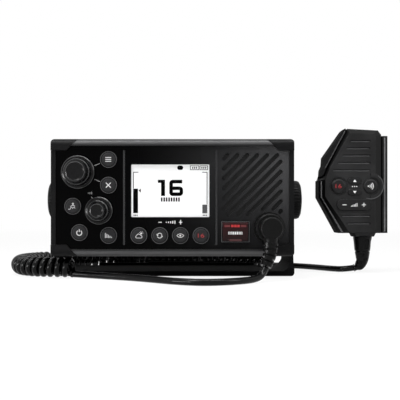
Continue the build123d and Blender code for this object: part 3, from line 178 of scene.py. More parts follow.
def grey(level, blue=None):
    """A grey colour, with its blue a little stronger where `blue` is given."""
    return level, level, level if blue is None else blue


def new_material(name):
    """A material with its node tree, its shader, and the place on the piece in metres."""
    material = bpy.data.materials.new(name)
    material.use_nodes = True
    tree = material.node_tree
    place = Wire(tree, tree.nodes.new("ShaderNodeTexCoord").outputs["Object"])
    return material, tree, tree.nodes["Principled BSDF"], place


def finish(name, recipe, gloss=PLAIN_GLOSS, **constants):
    """A named material from a recipe of varying values and the shader's constant ones."""
    finishes[name], tree, shader, place = new_material(name)
    shader.inputs["Specular IOR Level"].default_value = gloss
    for key, value in constants.items():
        shader.inputs[key.replace("_", " ")].default_value = value
    for key, wire in recipe(place).items():
        tree.links.new(wire.socket, shader.inputs[key])


def grain(place, size, detail=2.0, rough=0.5):
    """Cloudy noise whose lumps are about `size` millimetres across."""
    return place.node("ShaderNodeTexNoise", Vector=place, Scale=1000.0 / size, Detail=detail, Roughness=rough)


def relief(place, height, depth, edge=0.25):
    """A surface normal: `height` as bumps `depth` mm deep, over edges rounded by `edge` mm."""
    rounded = place.node("ShaderNodeBevel", {"samples": 4}, Radius=edge * MM)
    return place.node("ShaderNodeBump", Strength=1.0, Distance=depth * MM, Height=height, Normal=rounded)


def surface(place, shade, dark, light, roughness, height, depth, edge=0.25):
    """What most recipes give: a colour between two, a roughness, and a relief."""
    return {
        "Base Color": shade.between(dark, light),
        "Roughness": roughness,
        "Normal": relief(place, height, depth, edge),
    }


print("finishes are made by finish(name, recipe, constants)")

# %% [markdown]
# The housings are moulded from a glass-filled plastic in a spark-eroded mould, which leaves a fine even grain
# and a soft, low sheen. A small-scale noise drives a shallow relief and, a little, the roughness, so the
# sheen breaks up as it does on real textured plastic. The microphone's shell is worn: its face is a patchy
# dark grey and its sides are rough. Its bevels are painted near black, a painted shade on the faces that turn
# away from the front.

# %% Moulded housing plastic
def turned_away(place, starts, ends):
    """0 on faces that face forward, rising to 1 as a face turns to run from front to back."""
    normal = place.node("ShaderNodeNewGeometry", out=1)
    return abs(normal.axis("y")).ramp(starts, ends)


def moulded(dark, light, rough, depth=0.05, rough_sides_shaded_bevels=0.0):
    """Textured plastic; with a side roughness given, the bevels get a painted shade and the sides are that
    much rougher.
    """
    def recipe(place):
        fine = grain(place, 0.35)
        patch = grain(place, 25.0)
        roughness = fine * 0.14 + rough
        if rough_sides_shaded_bevels:
            # painted shade: the colour goes to black on bevels that turn away from the front
            patch = patch * (1 - turned_away(place, 0.95, 0.8))
            roughness = roughness + turned_away(place, 0.4, 0.15) * rough_sides_shaded_bevels
        return surface(place, patch, dark, light, roughness, fine, depth)

    return recipe


finish("moulded_black", moulded(grey(0.0025, 0.0027), grey(0.005, 0.0053), 0.34), gloss=0.08)
finish("handset_black", moulded(grey(0.001), grey(0.03, 0.0305), 0.3, 0.03, 0.6), gloss=0.1)
finish("lever_black", moulded(grey(0.001), grey(0.012, 0.0125), 0.3, 0.03, 0.6), gloss=0.1)
finish("clamp_black", moulded(grey(0.001, 0.0011), grey(0.003), 0.34), gloss=0.08)
finish("ring_black", moulded(grey(0.002), grey(0.005), 0.24, 0.03), gloss=0.1)
print("moulded plastics:", len(finishes))

# %% [markdown]
# The faceplate is polished black plastic at the keys and fades to a fine matt on the speaker side. One finish
# does both: the place across the panel drives the roughness. With the height it also lifts the colour a
# little, a painted sheen that is palest at the upper right. A faint orange-peel relief keeps reflections from
# being mirror-flat.

# %% Faceplate
(FACE_LEFT, _, FACE_LOW), (FACE_RIGHT, _, FACE_HIGH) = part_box("faceplate")
PANEL_Z = (FACE_LOW + FACE_HIGH) / 2


def faceplate_recipe(place):
    across = place.axis("x").ramp(FACE_LEFT * 0.4, FACE_RIGHT)
    up = place.axis("z").ramp(FACE_LOW, FACE_HIGH, 0.2, 1.0)
    # painted sheen: the colour is painted paler towards the upper right of the panel
    mask = across * across * up
    peel = grain(place, 1.4)
    black, dull = grey(0.0004, 0.0005), grey(0.062, 0.064)
    return surface(place, mask, black, dull, across * 0.16 + 0.2, peel, 0.008, 0.15)


finish("faceplate_gloss", faceplate_recipe, gloss=0.03)
print("faceplate from", round(FACE_LEFT, 3), "to", round(FACE_RIGHT, 3), "m")

# %% [markdown]
# The trims along the top and bottom edges are satin-lacquered strips. Lacquer levels out, so the
# relief is coarse and very shallow. A studio's long lamp would draw a soft bright line along them;
# the plain lights here don't, so a band of slightly paler paint with blurred edges stands for it.

# %% Lacquered trims and divider bars
BAND_AT, BAND_HALF = 43.6 * MM, 2.7 * MM  # the painted band, from the panel's middle height


def lacquer(dark, light, rough, banded=False):
    def recipe(place):
        shade = flow = grain(place, 3.0)
        speck = grain(place, 0.3, 1.0)
        if banded:
            from_middle = abs(place.axis("z") - PANEL_Z)
            band = abs(from_middle - BAND_AT).ramp(BAND_HALF, 0.0, kind="SMOOTHSTEP")
            shade = band * 0.9 + flow * 0.1
        return surface(place, shade, dark, light, speck * 0.08 + rough, flow, 0.01, 0.2)

    return recipe


finish("trim_satin", lacquer(grey(0.002, 0.0022), grey(0.075, 0.077), 0.26, banded=True), gloss=0.2)
finish("divider_grey", lacquer(grey(0.016, 0.017), grey(0.026, 0.027), 0.3), gloss=0.2)
print("lacquers ready")

# %% [markdown]
# Keys, rocker and knobs are silicone rubber or soft-touch plastic. Both scatter light softly, so
# they have a faint sheen. Dust and fingertips change it in patches, which a larger noise in the
# colour and the roughness suggests. Knobs, boots and the cord are the smoothest of them.

# %% Rubbers
def rubber(dark, light, rough, depth=0.03):
    def recipe(place):
        fine = grain(place, 0.25)
        touched = grain(place, 9.0)
        return surface(place, touched, dark, light, touched * 0.16 + rough, fine, depth, 0.3)

    return recipe


finish("key_rubber", rubber(grey(0.012, 0.013), grey(0.018, 0.019), 0.38), gloss=0.14)
finish("handset_key", rubber(grey(0.005, 0.0053), grey(0.009, 0.0093), 0.3), gloss=0.18)
finish("knob_rubber", rubber(grey(0.001, 0.0012), grey(0.003, 0.0033), 0.08), gloss=0.17)
# painted highlight: a paler, glossier ring on each edge of the knobs
finish("knob_edge_highlight", rubber(grey(0.012, 0.0125), grey(0.05, 0.051), 0.1), gloss=0.3)
finish("seal_rubber", rubber(grey(0.004), grey(0.008), 0.5), gloss=0.3)
finish("boot_rubber", rubber(grey(0.001), grey(0.003), 0.16), gloss=0.11)
finish("cord_jacket", rubber(grey(0.001, 0.0011), grey(0.002, 0.0021), 0.1, 0.02), gloss=0.14)
print("rubbers ready")

# %% [markdown]
# The bracket and the chassis are metal under a powder coat. Powder melts into a skin with a fine
# pebbled surface, whose colour drifts a little. Screws and sockets are bare, finely brushed metal.

# %% Powder coats and bare metals
def powder(dark, light, rough, pebble=0.45):
    def recipe(place):
        bumps = grain(place, pebble)
        patches = grain(place, 14.0, 4.0)
        return surface(place, patches, dark, light, bumps * 0.18 + rough, bumps, 0.05, 0.35)

    return recipe


def brushed(place):
    along = place.node("ShaderNodeMapping", Vector=place, Scale=(1.0, 18.0, 18.0))
    streaks = grain(along, 2.5, 3.0)
    dull, bright = grey(0.36, 0.37), grey(0.52, 0.53)
    return surface(place, streaks, dull, bright, streaks * 0.2 + 0.22, streaks, 0.008, 0.1)


finish("bracket_powder", powder(grey(0.004, 0.0043), grey(0.008, 0.0083), 0.6), gloss=0.02)
finish("chassis_powder", powder(grey(0.006), grey(0.011), 0.42, 0.6), gloss=0.3)
finish("brushed_steel", brushed, Metallic=1.0)
finish("nickel", brushed, Metallic=1.0)
print("metals ready")

# %% [markdown]
# The distress cover is a deep red glossy moulding. Its colour is painted paler towards its top, a painted
# highlight that the height on the panel decides. The marks behind it glow a little, in a stronger red, and
# the lip's red has a faint painted glow.

# %% Reds
cover_low, cover_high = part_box("distress_cover")


def red_cover(place):
    # painted highlight: the cover's colour is painted paler towards its top
    lit = place.axis("z").ramp(cover_low.z, cover_high.z)
    cloud = grain(place, 4.0)
    shade, dark, light = lit * 0.7 + cloud * 0.3, (0.008, 0.002, 0.0024), (0.023, 0.003, 0.004)
    return surface(place, shade, dark, light, cloud * 0.06 + 0.16, cloud, 0.01, 0.2)


def glow(colour, strength):
    """A colour that also gives light of its own, `strength` times as much as the colour."""
    dim, light = [0.8 * c for c in colour], [strength * c for c in colour]

    def recipe(place):
        soft = grain(place, 2.0)
        return {
            "Base Color": soft.between(dim, colour),
            "Roughness": soft * 0.1 + 0.3,
            "Emission Color": soft.between([0.8 * c for c in light], light),
        }

    return recipe


finish("cover_red", red_cover, gloss=0.15)
finish("led_red", glow((0.09, 0.003, 0.0045), 0.25), Emission_Strength=1.0)
finish("led_bright", glow((0.3, 0.006, 0.008), 0.6), Emission_Strength=1.0)
# painted glow: the lip and the button under the cover give off a faint light of their own
finish("lip_painted_glow", glow((0.045, 0.002, 0.0025), 0.1), Emission_Strength=1.0)
print("reds ready")

# %% [markdown]
# Printed marks are thin films of ink. Screen ink isn't quite even, so a fine noise varies its
# colour and roughness. The display is a backlit panel: its own light makes it pale and even.

# %% Inks and display
def ink(dark, light):
    def recipe(place):
        speck = grain(place, 0.15)
        return {"Base Color": speck.between(dark, light), "Roughness": speck * 0.1 + 0.45}

    return recipe


finish("ink_white", ink(grey(0.62), grey(0.8)))
finish("ink_grey", ink(grey(0.22), grey(0.3)))
# The next two are for the keys: a paler grey, a painted highlight on each key's outer edge, and a near-black,
# a painted shade in the groove round its cap.
finish("key_rim_highlight", ink(grey(0.05, 0.052), grey(0.07, 0.073)))
finish("key_groove_shade", ink(grey(0.0008), grey(0.0015)), gloss=0.05)
# The next four greys are painted highlights: light lines on the microphone, the ribs by its lever among them,
# and the lit edge of the distress frame.
finish("rib_grey", ink(grey(0.022, 0.023), grey(0.035, 0.036)), gloss=0.2)
finish("highlight_grey", ink(grey(0.09, 0.092), grey(0.14, 0.143)), gloss=0.2)
finish("edge_highlight_grey", ink(grey(0.07, 0.072), grey(0.1, 0.103)), gloss=0.2)
finish("bright_highlight_grey", ink(grey(0.13, 0.133), grey(0.18, 0.184)), gloss=0.2)
finish("ink_red", ink((0.25, 0.011, 0.013), (0.33, 0.015, 0.018)))
finish("ink_key", ink(grey(0.5), grey(0.62)))
finish("lcd_dark", ink(grey(0.0005), grey(0.001)), gloss=0.01)
finish("lcd_grey", ink(grey(0.06, 0.063), grey(0.09, 0.093)), gloss=0.1)


def display_recipe(place):
    wash = grain(place, 40.0, 0.0)
    return {
        "Base Color": wash.between(grey(0.5), grey(0.54)),
        "Emission Color": wash.between((0.42, 0.425, 0.425), (0.44, 0.445, 0.445)),
        "Roughness": wash * 0.1 + 0.4,
    }


def lens_recipe(place):
    wiped = grain(place, 30.0, 0.0)
    return {
        "Base Color": wiped.between(grey(0.01), grey(0.02)),
        "Roughness": wiped * 0.05 + 0.05,
        "Alpha": wiped * 0.01 + 0.015,
    }


def cloth_recipe(place):
    weave = place.node("ShaderNodeTexChecker", out=1, Vector=place, Scale=2200.0)
    fuzz = grain(place, 0.5)
    shade = weave * 0.6 + fuzz * 0.4
    return surface(place, shade, grey(0.006), grey(0.02), fuzz * 0.2 + 0.65, weave, 0.04, 0.1)


finish("display_white", display_recipe, Emission_Strength=1.0)
finish("clear_lens", lens_recipe)
finish("speaker_cloth", cloth_recipe, gloss=0.2)
print("finishes:", len(finishes))

# %% [markdown]
# Most pieces of the engineering model already have the right shape, so they only need a finish.
# The table below pairs each finish with the nodes that wear it.

# %% Dress the engineering model
WEARS = {
    "moulded_black": ["front_bezel", "distress_frame"],
    "handset_black": ["handset_front", "handset_back", "handset_gland", "hanger_stud"],
    "clamp_black": ["clamp_knob_left", "clamp_knob_right"],
    "ring_black": ["coupling_ring", "plug_body", "mic_socket"],
    "faceplate_gloss": ["faceplate"],
    "trim_satin": ["top_trim", "bottom_trim"],
    "divider_grey": ["divider_bars"],
    "display_white": ["lcd_panel"],
    "key_rubber": [name for name in nodes if name.startswith("key_")],
    "handset_key": ["button_round", "button_red", "button_up", "button_down", "volume_rocker"],
    "lever_black": ["ptt_lever"],
    "knob_rubber": ["channel_knob", "volume_knob"],
    "cover_red": ["distress_cover"],
    "lip_painted_glow": ["distress_button"],
    "clear_lens": ["display_lens"],
    "speaker_cloth": ["grille_backing"],
    "seal_rubber": ["chassis_gasket", "friction_pads", "speaker", "handset_speaker"],
    "boot_rubber": ["plug_relief", "handset_relief"],
    "bracket_powder": ["bracket"],
    "chassis_powder": ["rear_chassis"],
    "brushed_steel": ["clamp_stud_left", "clamp_stud_right", "chassis_screws", "handset_screws"],
    "nickel": ["channel_shaft", "volume_shaft", "antenna_socket", "network_socket"],
}


def wear(piece, name):
    piece.data.materials.clear()
    piece.data.materials.append(finishes[name])


for name, wearers in WEARS.items():
    for node in wearers:
        wear(nodes[node], name)
print("dressed", sum(len(w) for w in WEARS.values()), "nodes")

# %% [markdown]
# Circuit boards sit inside, out of sight unless the housing is taken apart. Solder mask is a dark
# green lacquer over copper: fine straight tracks show through as slightly lighter lines.

# %% Circuit boards
def board_recipe(place):
    tracks = place.node("ShaderNodeTexBrick", out=1, Vector=place, Scale=260.0, Mortar_Size=0.012)
    mask, copper = (0.008, 0.06, 0.02), (0.03, 0.13, 0.05)
    return surface(place, tracks, mask, copper, tracks * 0.1 + 0.3, tracks, 0.02, 0.1)


finish("solder_mask", board_recipe)
for node in ("control_board", "main_board", "handset_board"):
    wear(nodes[node], "solder_mask")
print("boards done")

# %% [markdown]
# The cord is one length in three stretches: smooth from the plug along the table, curly round the
# left of the bracket and along behind it, and smooth again up to the hand microphone. A cord keeps
# its length and bends under its own weight, so each stretch starts as a few route points that lie
# on the table, and a NURBS spline draws the smooth line between them.

# %% Route points, in metres
FRONT_ROUTE = [
    (0.07155, -0.08727, 0.01135), (0.0693, -0.089, 0.0053), (0.0625, -0.097, 0.0028),
    (0.051, -0.108, 0.0027), (0.037, -0.1165, 0.0027), (0.0215, -0.119, 0.0027),
    (0.0055, -0.1115, 0.0027), (-0.009, -0.099, 0.0027), (-0.0245, -0.085, 0.0027),
    (-0.041, -0.073, 0.0027), (-0.058, -0.0625, 0.0027), (-0.071, -0.054, 0.0028),
    (-0.081, -0.0515, 0.0032),
]
COIL_REST = 0.00842  # height of the coil's axis over the table
COIL_ROUTE = [
    (-0.081, -0.05), (-0.099, -0.049), (-0.1165, -0.041), (-0.1295, -0.025),
    (-0.1335, -0.003), (-0.13, 0.019), (-0.1175, 0.037), (-0.098, 0.047),
    (-0.072, 0.05), (-0.04, 0.0486), (-0.006, 0.0494), (0.028, 0.0486),
    (0.058, 0.0492), (0.084, 0.0484),
]
REAR_ROUTE = [
    (0.084, 0.0474, 0.0034), (0.0965, 0.0482, 0.0028), (0.11, 0.0456, 0.0027),
    (0.121, 0.0355, 0.0027), (0.1305, 0.023, 0.0027), (0.1388, 0.0106, 0.0027),
    (0.1474, 0.001, 0.0029), (0.1562, 0.001, 0.0042),
]
CABLE = 0.0052  # the jacket's diameter
print(len(FRONT_ROUTE) + len(COIL_ROUTE) + len(REAR_ROUTE), "route points")

# %% [markdown]
# A spline can be read back as points: Blender turns a curve with no bevel into a mesh of one long edge chain.
# The smooth stretches are tubes round that chain, made as meshes.

# %% Spline to line, line to tube
def spline_curve(name, route, resolution):
    """A curve with one NURBS spline through space, pulled along by the points of a route."""
    curve = bpy.data.curves.new(name, "CURVE")
    curve.dimensions = "3D"
    curve.resolution_u = resolution
    spline = curve.splines.new("NURBS")
    spline.points.add(len(route) - 1)
    for point, place in zip(spline.points, route):
        point.co = (*place, 1)
    spline.order_u = 3
    spline.use_endpoint_u = True
    return curve


def read_back(curve):
    """The points and faces that Blender makes of a curve, which is then thrown away."""
    holder = bpy.data.objects.new("holder", curve)
    mesh = bpy.data.meshes.new_from_object(holder)
    points = [vertex.co.copy() for vertex in mesh.vertices]
    faces = [list(face.vertices) for face in mesh.polygons]
    bpy.data.objects.remove(holder)
    bpy.data.meshes.remove(mesh)
    bpy.data.curves.remove(curve)
    return points, faces


def smooth_line(route):
    """Closely spaced points along the NURBS spline that a route controls."""
    return read_back(spline_curve("line", route, 10))[0]


def length_of(line):
    return sum((b - a).length for a, b in zip(line, line[1:]))


def mesh_piece(name, points, faces, material, smooth=True):
    """A new object from vertices and faces, in the row's own place."""
    mesh = bpy.data.meshes.new(name)
    mesh.from_pydata([tuple(p) for p in points], [], faces)
    mesh.validate()
    mesh.update()
    if smooth:
        mesh.shade_smooth()
    piece = placed(name, mesh)
    wear(piece, material)
    return piece


def tube(name, line, radius, material, sides=20):
    """A round tube along a line, whose rings turn as little as the line lets them."""
    points, faces = [], []
    across = Vector((0, 0, 1))
    for i, centre in enumerate(line):
        ahead = (line[min(i + 1, len(line) - 1)] - line[max(i - 1, 0)]).normalized()
        across = (across - ahead * across.dot(ahead)).normalized()
        other = ahead.cross(across)
        for k in range(sides):
            turn = 2 * pi * k / sides
            points.append(centre + radius * (cos(turn) * across + sin(turn) * other))
    for i in range(len(line) - 1):
        for k in range(sides):
            a, b = i * sides + k, i * sides + (k + 1) % sides
            faces.append((a, b, b + sides, a + sides))
    faces.append(tuple(range(sides))[::-1])
    faces.append(tuple(range(len(points) - sides, len(points))))
    return mesh_piece(name, points, faces, material)


front_line, rear_line = smooth_line(FRONT_ROUTE), smooth_line(REAR_ROUTE)
print("smooth stretches", round(length_of(front_line), 3), "and", round(length_of(rear_line), 3), "m")

# %% [markdown]
# The front stretch runs from the plug down to the table, and the rear stretch from the table up to the
# microphone. Each becomes a tube along its line and takes the place of the model's cord piece.

# %% Smooth stretches
for node, route, line, bodies, start, end in (
    ("cord_front", FRONT_ROUTE, front_line, ("radio", "bracket"), 0, 4),
    ("cord_rear", REAR_ROUTE, rear_line, ("bracket", "handset"), 3, -1),
):
    jacket = tube(node + "_jacket", line, CABLE / 2, "cord_jacket")
    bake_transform(jacket)
    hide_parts(node)
    length_of(line)
print("two jackets made")

# %% [markdown]
# A curly cord is a cable wound on a rod and heat-set. Its centre line is a helix about an axis, and
# the axis is the line that lies on the table. Where the axis bends, the turns fan open outside and
# close up inside, which follows by itself when the helix is worked out along the bent axis.

# %% Curly stretch
TURN_R = COIL_REST - CABLE / 2 - 0.0001  # the lowest turn stays a little above the table
PITCH = 0.0061  # from one turn to the next
STEPS = 16  # points on each turn
START_TURN, END_TURN = -0.3, 0.27  # the helix starts and ends low, where the smooth lengths join
LOOSE = 0.0012  # how far turns crowd together or spread
UP = Vector((0, 0, 1))

axis_line = smooth_line([(x, y, COIL_REST) for x, y in COIL_ROUTE])
axis_length = length_of(axis_line)
turns = round(axis_length / PITCH)
reached = [0.0]
for a, b in zip(axis_line, axis_line[1:]):
    reached.append(reached[-1] + (b - a).length)


def axis_at(distance):
    """The place on the axis at a distance along it, and the direction there."""
    i = max(k for k in range(len(reached) - 1) if reached[k] <= distance or k == 0)
    a, b = axis_line[i], axis_line[i + 1]
    share = (distance - reached[i]) / (reached[i + 1] - reached[i])
    before, after = axis_line[max(i - 1, 0)], axis_line[min(i + 2, len(axis_line) - 1)]
    return a.lerp(b, share), (b - before).lerp(after - a, share).normalized()


helix = []
for i in range(turns * STEPS + 1):
    share = i / (turns * STEPS)
    loose = LOOSE * sin(share * turns * 0.9) * sin(pi * share)
    centre, ahead = axis_at(min(max(share * axis_length + loose, 0.0), axis_length))
    side = ahead.cross(UP).normalized()
    turn = 2 * pi * (i / STEPS) - pi / 2 + START_TURN * (1 - share) + END_TURN * share
    helix.append(centre + TURN_R * (cos(turn) * side + sin(turn) * UP))

curly = spline_curve("cord_curly_jacket", helix, 2)
curly.bevel_depth = CABLE / 2
curly.bevel_resolution = 4
curly.use_fill_caps = True
curly_cord = placed("cord_curly_jacket", curly)
wear(curly_cord, "cord_jacket")
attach(curly_cord, "bracket")
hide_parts("cord_coil")
length_of(helix)
print(turns, "turns,", round(length_of(helix), 2), "m of cable")

# %% [markdown]
# The table is a large pale sheet that curves up far behind the set. Rays from the camera, and those
# that gloss or glass sends on, find it plain white; near the set a little of its lit surface is
# mixed in, so that the contact shadows stay. The world does the same, but gives matt surfaces only
# a fifth of that white.

# %% Floor
FLOOR_NEAR, FLOOR_DEEP, FLOOR_SIDE = -3.0, 1.6, 4.0  # from the front edge to where it starts to rise
SWEEP_R, SWEEP_TOP, SWEEP_PARTS = 1.2, 4.0, 12  # the radius of the bend and the backdrop's top
PAPER = 0.82
WHITE_NEAR = 0.88  # the share of plain white near the set; far away it is all white
WORLD_LIGHT = 0.2


def seen_directly(tree):
    """1 for the camera's rays and for those that gloss or glass sends on, else 0."""
    path = tree.nodes.new("ShaderNodeLightPath")
    rays = [Wire(tree, path.outputs[f"Is {kind} Ray"]) for kind in ("Camera", "Glossy", "Transmission")]
    return rays[0] + rays[1] + rays[2]


def white_floor(name):
    """A matt floor that is white to all rays that see it directly, most of all far away."""
    material, tree, shader, place = new_material(name)
    shader.inputs["Base Color"].default_value = (*grey(PAPER), 1)
    shader.inputs["Roughness"].default_value = 0.8
    seen = seen_directly(tree)
    white = Wire(tree, None).node("ShaderNodeEmission", Color=(1, 1, 1, 1), Strength=1.0)
    lit = Wire(tree, shader.outputs[0])
    far = place.axis("y").ramp(0.1, FLOOR_DEEP, WHITE_NEAR, 1.0)
    mixed = white.node("ShaderNodeMixShader", _0=seen * far, _1=lit, _2=white)
    tree.links.new(mixed.socket, tree.nodes["Material Output"].inputs["Surface"])
    return material


def sweep_sheet():
    """A floor that turns up into a backdrop behind, on one smooth arc."""
    bends = [pi / 2 * k / SWEEP_PARTS for k in range(1, SWEEP_PARTS + 1)]
    profile = [(FLOOR_NEAR, 0.0), (FLOOR_DEEP, 0.0)]
    profile += [(FLOOR_DEEP + SWEEP_R * sin(a), SWEEP_R * (1 - cos(a))) for a in bends]
    profile.append((FLOOR_DEEP + SWEEP_R, SWEEP_TOP))
    points = [(x, y, z) for y, z in profile for x in (-FLOOR_SIDE, FLOOR_SIDE)]
    faces = [(2 * i, 2 * i + 1, 2 * i + 3, 2 * i + 2) for i in range(len(profile) - 1)]
    mesh = bpy.data.meshes.new("studio_sweep")
    mesh.from_pydata(points, [], faces)
    mesh.shade_smooth()
    sheet = placed("studio_sweep", mesh)
    sheet.data.materials.append(white_floor("studio_white"))


sweep_sheet()
world = bpy.data.worlds.new("studio")
bpy.context.scene.world = world
world.use_nodes = True
background = world.node_tree.nodes["Background"]
background.inputs["Color"].default_value = (1, 1, 1, 1)
brightness = seen_directly(world.node_tree) * (1 - WORLD_LIGHT) + WORLD_LIGHT
world.node_tree.links.new(brightness.socket, background.inputs["Strength"])
print("floor laid")

# %% [markdown]
# One big soft light stands at the upper left, a weaker one at the right and a long narrow one
# above. A low card at the left lights only what is glossy, so that it draws a line along the lower
# trim and the cord's turns without lifting any colour.

# %% Lights
def softbox(name, place, aim, size, watts):
    """A rectangular light at a place, turned towards another."""
    data = bpy.data.lights.new(name, "AREA")
    data.shape = "RECTANGLE"
    data.size, data.size_y = size
    data.energy = watts
    lamp = placed(name, data)
    lamp.location = place
    lamp.rotation_euler = (Vector(aim) - Vector(place)).to_track_quat("-Z", "Y").to_euler()
    return lamp


MIDDLE = (0.02, 0.0, 0.06)  # what the lamps are turned to
softbox("key_light", (-0.8, -1.0, 1.4), MIDDLE, (0.6, 0.5), 15)
softbox("side_light", (1.2, -0.5, 0.7), MIDDLE, (0.25, 0.7), 4)
softbox("top_light", (0.0, -0.3, 1.0), MIDDLE, (1.3, 0.2), 14)
card = softbox("low_light", (-0.45, -0.38, 0.035), (-0.05, -0.055, 0.085), (0.34, 0.05), 2.0)
card.visible_camera = False
card.visible_diffuse = False
print("studio lit")

# %% [markdown]
# Every printed mark is a film of ink with a real thickness. A `Drawing` collects flat shapes in
# millimetres about a centre, seen from the front, and turns them into one thin closed piece that
# rides on the body it is printed on. A stroke is a ribbon along a line, with mitred corners, and
# arcs and rings are strokes too. Numbers come from the built-in font, fitted to a width and height.

# %% The drawing class
INK = 0.06  # thickness of a printed film
SHOWN = INK * 0.9  # how far it stands proud of what it is printed on


def arc(x, z, r, start, stop):
    """Points on an arc about (x, z), between two angles in degrees."""
    parts = max(4, int(abs(stop - start) / 12))
    turns = [radians(start + (stop - start) * i / parts) for i in range(parts + 1)]
    return [(x + r * cos(turn), z + r * sin(turn)) for turn in turns]


def corners(x, z, w, h):
    """The four corners of a rectangle, from its centre."""
    left, right, low, high = x - w / 2, x + w / 2, z - h / 2, z + h / 2
    return [(left, low), (right, low), (right, high), (left, high)]


class Drawing:
    """Flat shapes in millimetres about a centre, made into one thin piece."""

    def __init__(self, x, z, front, thick=INK):
        """The centre, and how far forward the film's own front lies, all in metres."""
        self.x, self.z, self.front, self.thick = x, z, front, thick
        self.points, self.faces = [], []

    def shape(self, points, faces, rims):
        """Add a flat shape: its faces at the front and the back, and a wall along each rim."""
        base, count = len(self.points), len(points)
        for depth in (0.0, self.thick):
            self.points += [(self.x + x * MM, self.front + depth * MM, self.z + z * MM) for x, z in points]
        for face in faces:
            self.faces.append([base + i for i in face])
            self.faces.append([base + count + i for i in reversed(face)])
        for rim in rims:
            for a, b in zip(rim, rim[1:] + rim[:1]):
                self.faces.append([base + a, base + count + a, base + count + b, base + b])
        return self

    def patch(self, points):
        """A filled outline."""
        loop = list(range(len(points)))
        return self.shape(points, [loop], [loop])

    def stroke(self, line, width, closed=False):
        """A ribbon of even width along a line of points."""
        line = [Vector(point) for point in line]
        left, right = [], []
        for i, point in enumerate(line):
            before = line[i - 1] if closed or i else point
            after = line[(i + 1) % len(line)] if closed or i + 1 < len(line) else point
            ways = [way.normalized() for way in (point - before, after - point) if way.length]
            ahead = sum(ways, Vector((0, 0))).normalized()
            across = Vector((-ahead.y, ahead.x))
            square = Vector((-ways[0].y, ways[0].x))
            reach = width / 2 / max(0.5, across.dot(square))
            left.append(tuple(point + across * reach))
            right.append(tuple(point - across * reach))
        n = len(line)
        links = [(i, (i + 1) % n) for i in range(n if closed else n - 1)]
        quads = [(a + n, b + n, b, a) for a, b in links]
        rims = [list(range(n)), list(range(n, 2 * n))]
        if not closed:
            rims = [rims[0] + rims[1][::-1]]
        return self.shape(left + right, quads, rims)

    def ring(self, r, width):
        return self.stroke(arc(0, 0, r, 0, 360)[:-1], width, True)

    def disc(self, x, z, r):
        return self.patch(arc(x, z, r, 0, 360)[:-1])

    def bar(self, x, z, w, h):
        return self.patch(corners(x, z, w, h))

    def frame(self, x, z, w, h, width):
        """The outline of a rectangle."""
        return self.stroke(corners(x, z, w, h), width, True)

    def pill(self, x, z, w, h):
        """A filled bar with round ends."""
        reach = (w - h) / 2
        return self.patch(arc(x + reach, z, h / 2, -90, 90) + arc(x - reach, z, h / 2, 90, 270))

    def number(self, text, w, h):
        """A plain number in the built-in font, w wide and h tall about the drawing's centre."""
        curve = bpy.data.curves.new("number", "FONT")
        curve.body, curve.extrude = text, 0.5
        points, faces = read_back(curve)
        low = [min(point[axis] for point in points) for axis in (0, 1)]
        high = [max(point[axis] for point in points) for axis in (0, 1)]
        base = len(self.points)
        for point in points:
            across, up = (
                size * ((point[axis] - low[axis]) / (high[axis] - low[axis]) - 0.5)
                for axis, size in enumerate((w, h))
            )
            depth = self.thick * (0.5 - point.z)
            self.points.append((self.x + across * MM, self.front + depth * MM, self.z + up * MM))
        self.faces += [[base + i for i in face] for face in faces]
        return self

    def piece(self, name, material, body):
        """The finished film, riding on a body."""
        made = mesh_piece(name, self.points, self.faces, material, smooth=False)
        cleaned = bmesh.new()
        cleaned.from_mesh(made.data)
        bmesh.ops.remove_doubles(cleaned, verts=cleaned.verts, dist=INK * MM / 50)
        bmesh.ops.recalc_face_normals(cleaned, faces=cleaned.faces)
        cleaned.to_mesh(made.data)
        cleaned.free()
        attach(made, body)
        return made


print("a Drawing makes patches, strokes, rings and numbers")

# %% [markdown]
# The keys carry white icons instead of words: lines for the menu, a cross to go back, a buoy for
# the track list, a power sign, a falling ramp for the squelch, a cloud and sun, an arrow ring for
# the scan, an eye for the watch and the number of the calling channel. Each icon is drawn in a
# circle about its key's centre and moves with the key.

# %% Key icons
FINE = 0.55  # width of an icon's strokes
THIN = FINE * 0.8


def on_front(node):
    """A drawing about the middle of a key's or button's front."""
    return Drawing(*middle_of(node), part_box(node)[0].y - SHOWN * MM)


def menu_icon(drawing):
    for z in (1.5, 0.0, -1.5):
        drawing.bar(0, z, 4.6, 0.62)


def back_icon(drawing):
    arm, width = 1.9, FINE * 1.3
    clear = width * sqrt(2) / 2 * 0.52  # the second line starts beside the first, not in it
    drawing.stroke([(-arm, arm), (arm, -arm)], width)
    for sign in (-1, 1):
        drawing.stroke([(sign * clear, sign * clear), (sign * arm, sign * arm)], width)


def track_icon(drawing):
    drawing.disc(0.3, 1.9, 0.75)
    drawing.stroke([(-1.7, -0.3), (0.3, 0.8), (1.9, -0.1)], FINE)
    drawing.stroke(arc(-0.9, -1.9, 0.9, 10, 170) + arc(-2.5, -1.9, 0.7, 350, 200)[1:], THIN)
    drawing.stroke(arc(1.1, -1.9, 0.9, 170, 10), THIN)


def power_icon(drawing):
    drawing.stroke(arc(0, -0.2, 2.0, 125, 415), 0.7)
    drawing.bar(0, 1.5, 0.7, 2.1)


def steps(drawing, foot, width, first, grows):
    """Five bars on one line, each `grows` taller than the one before."""
    for i in range(5):
        tall = first + grows * i
        drawing.bar(-2.4 + 1.2 * i, tall / 2 + foot, width, tall)


def squelch_icon(drawing):
    steps(drawing, -1.9, 0.7, 3.9, -0.75)


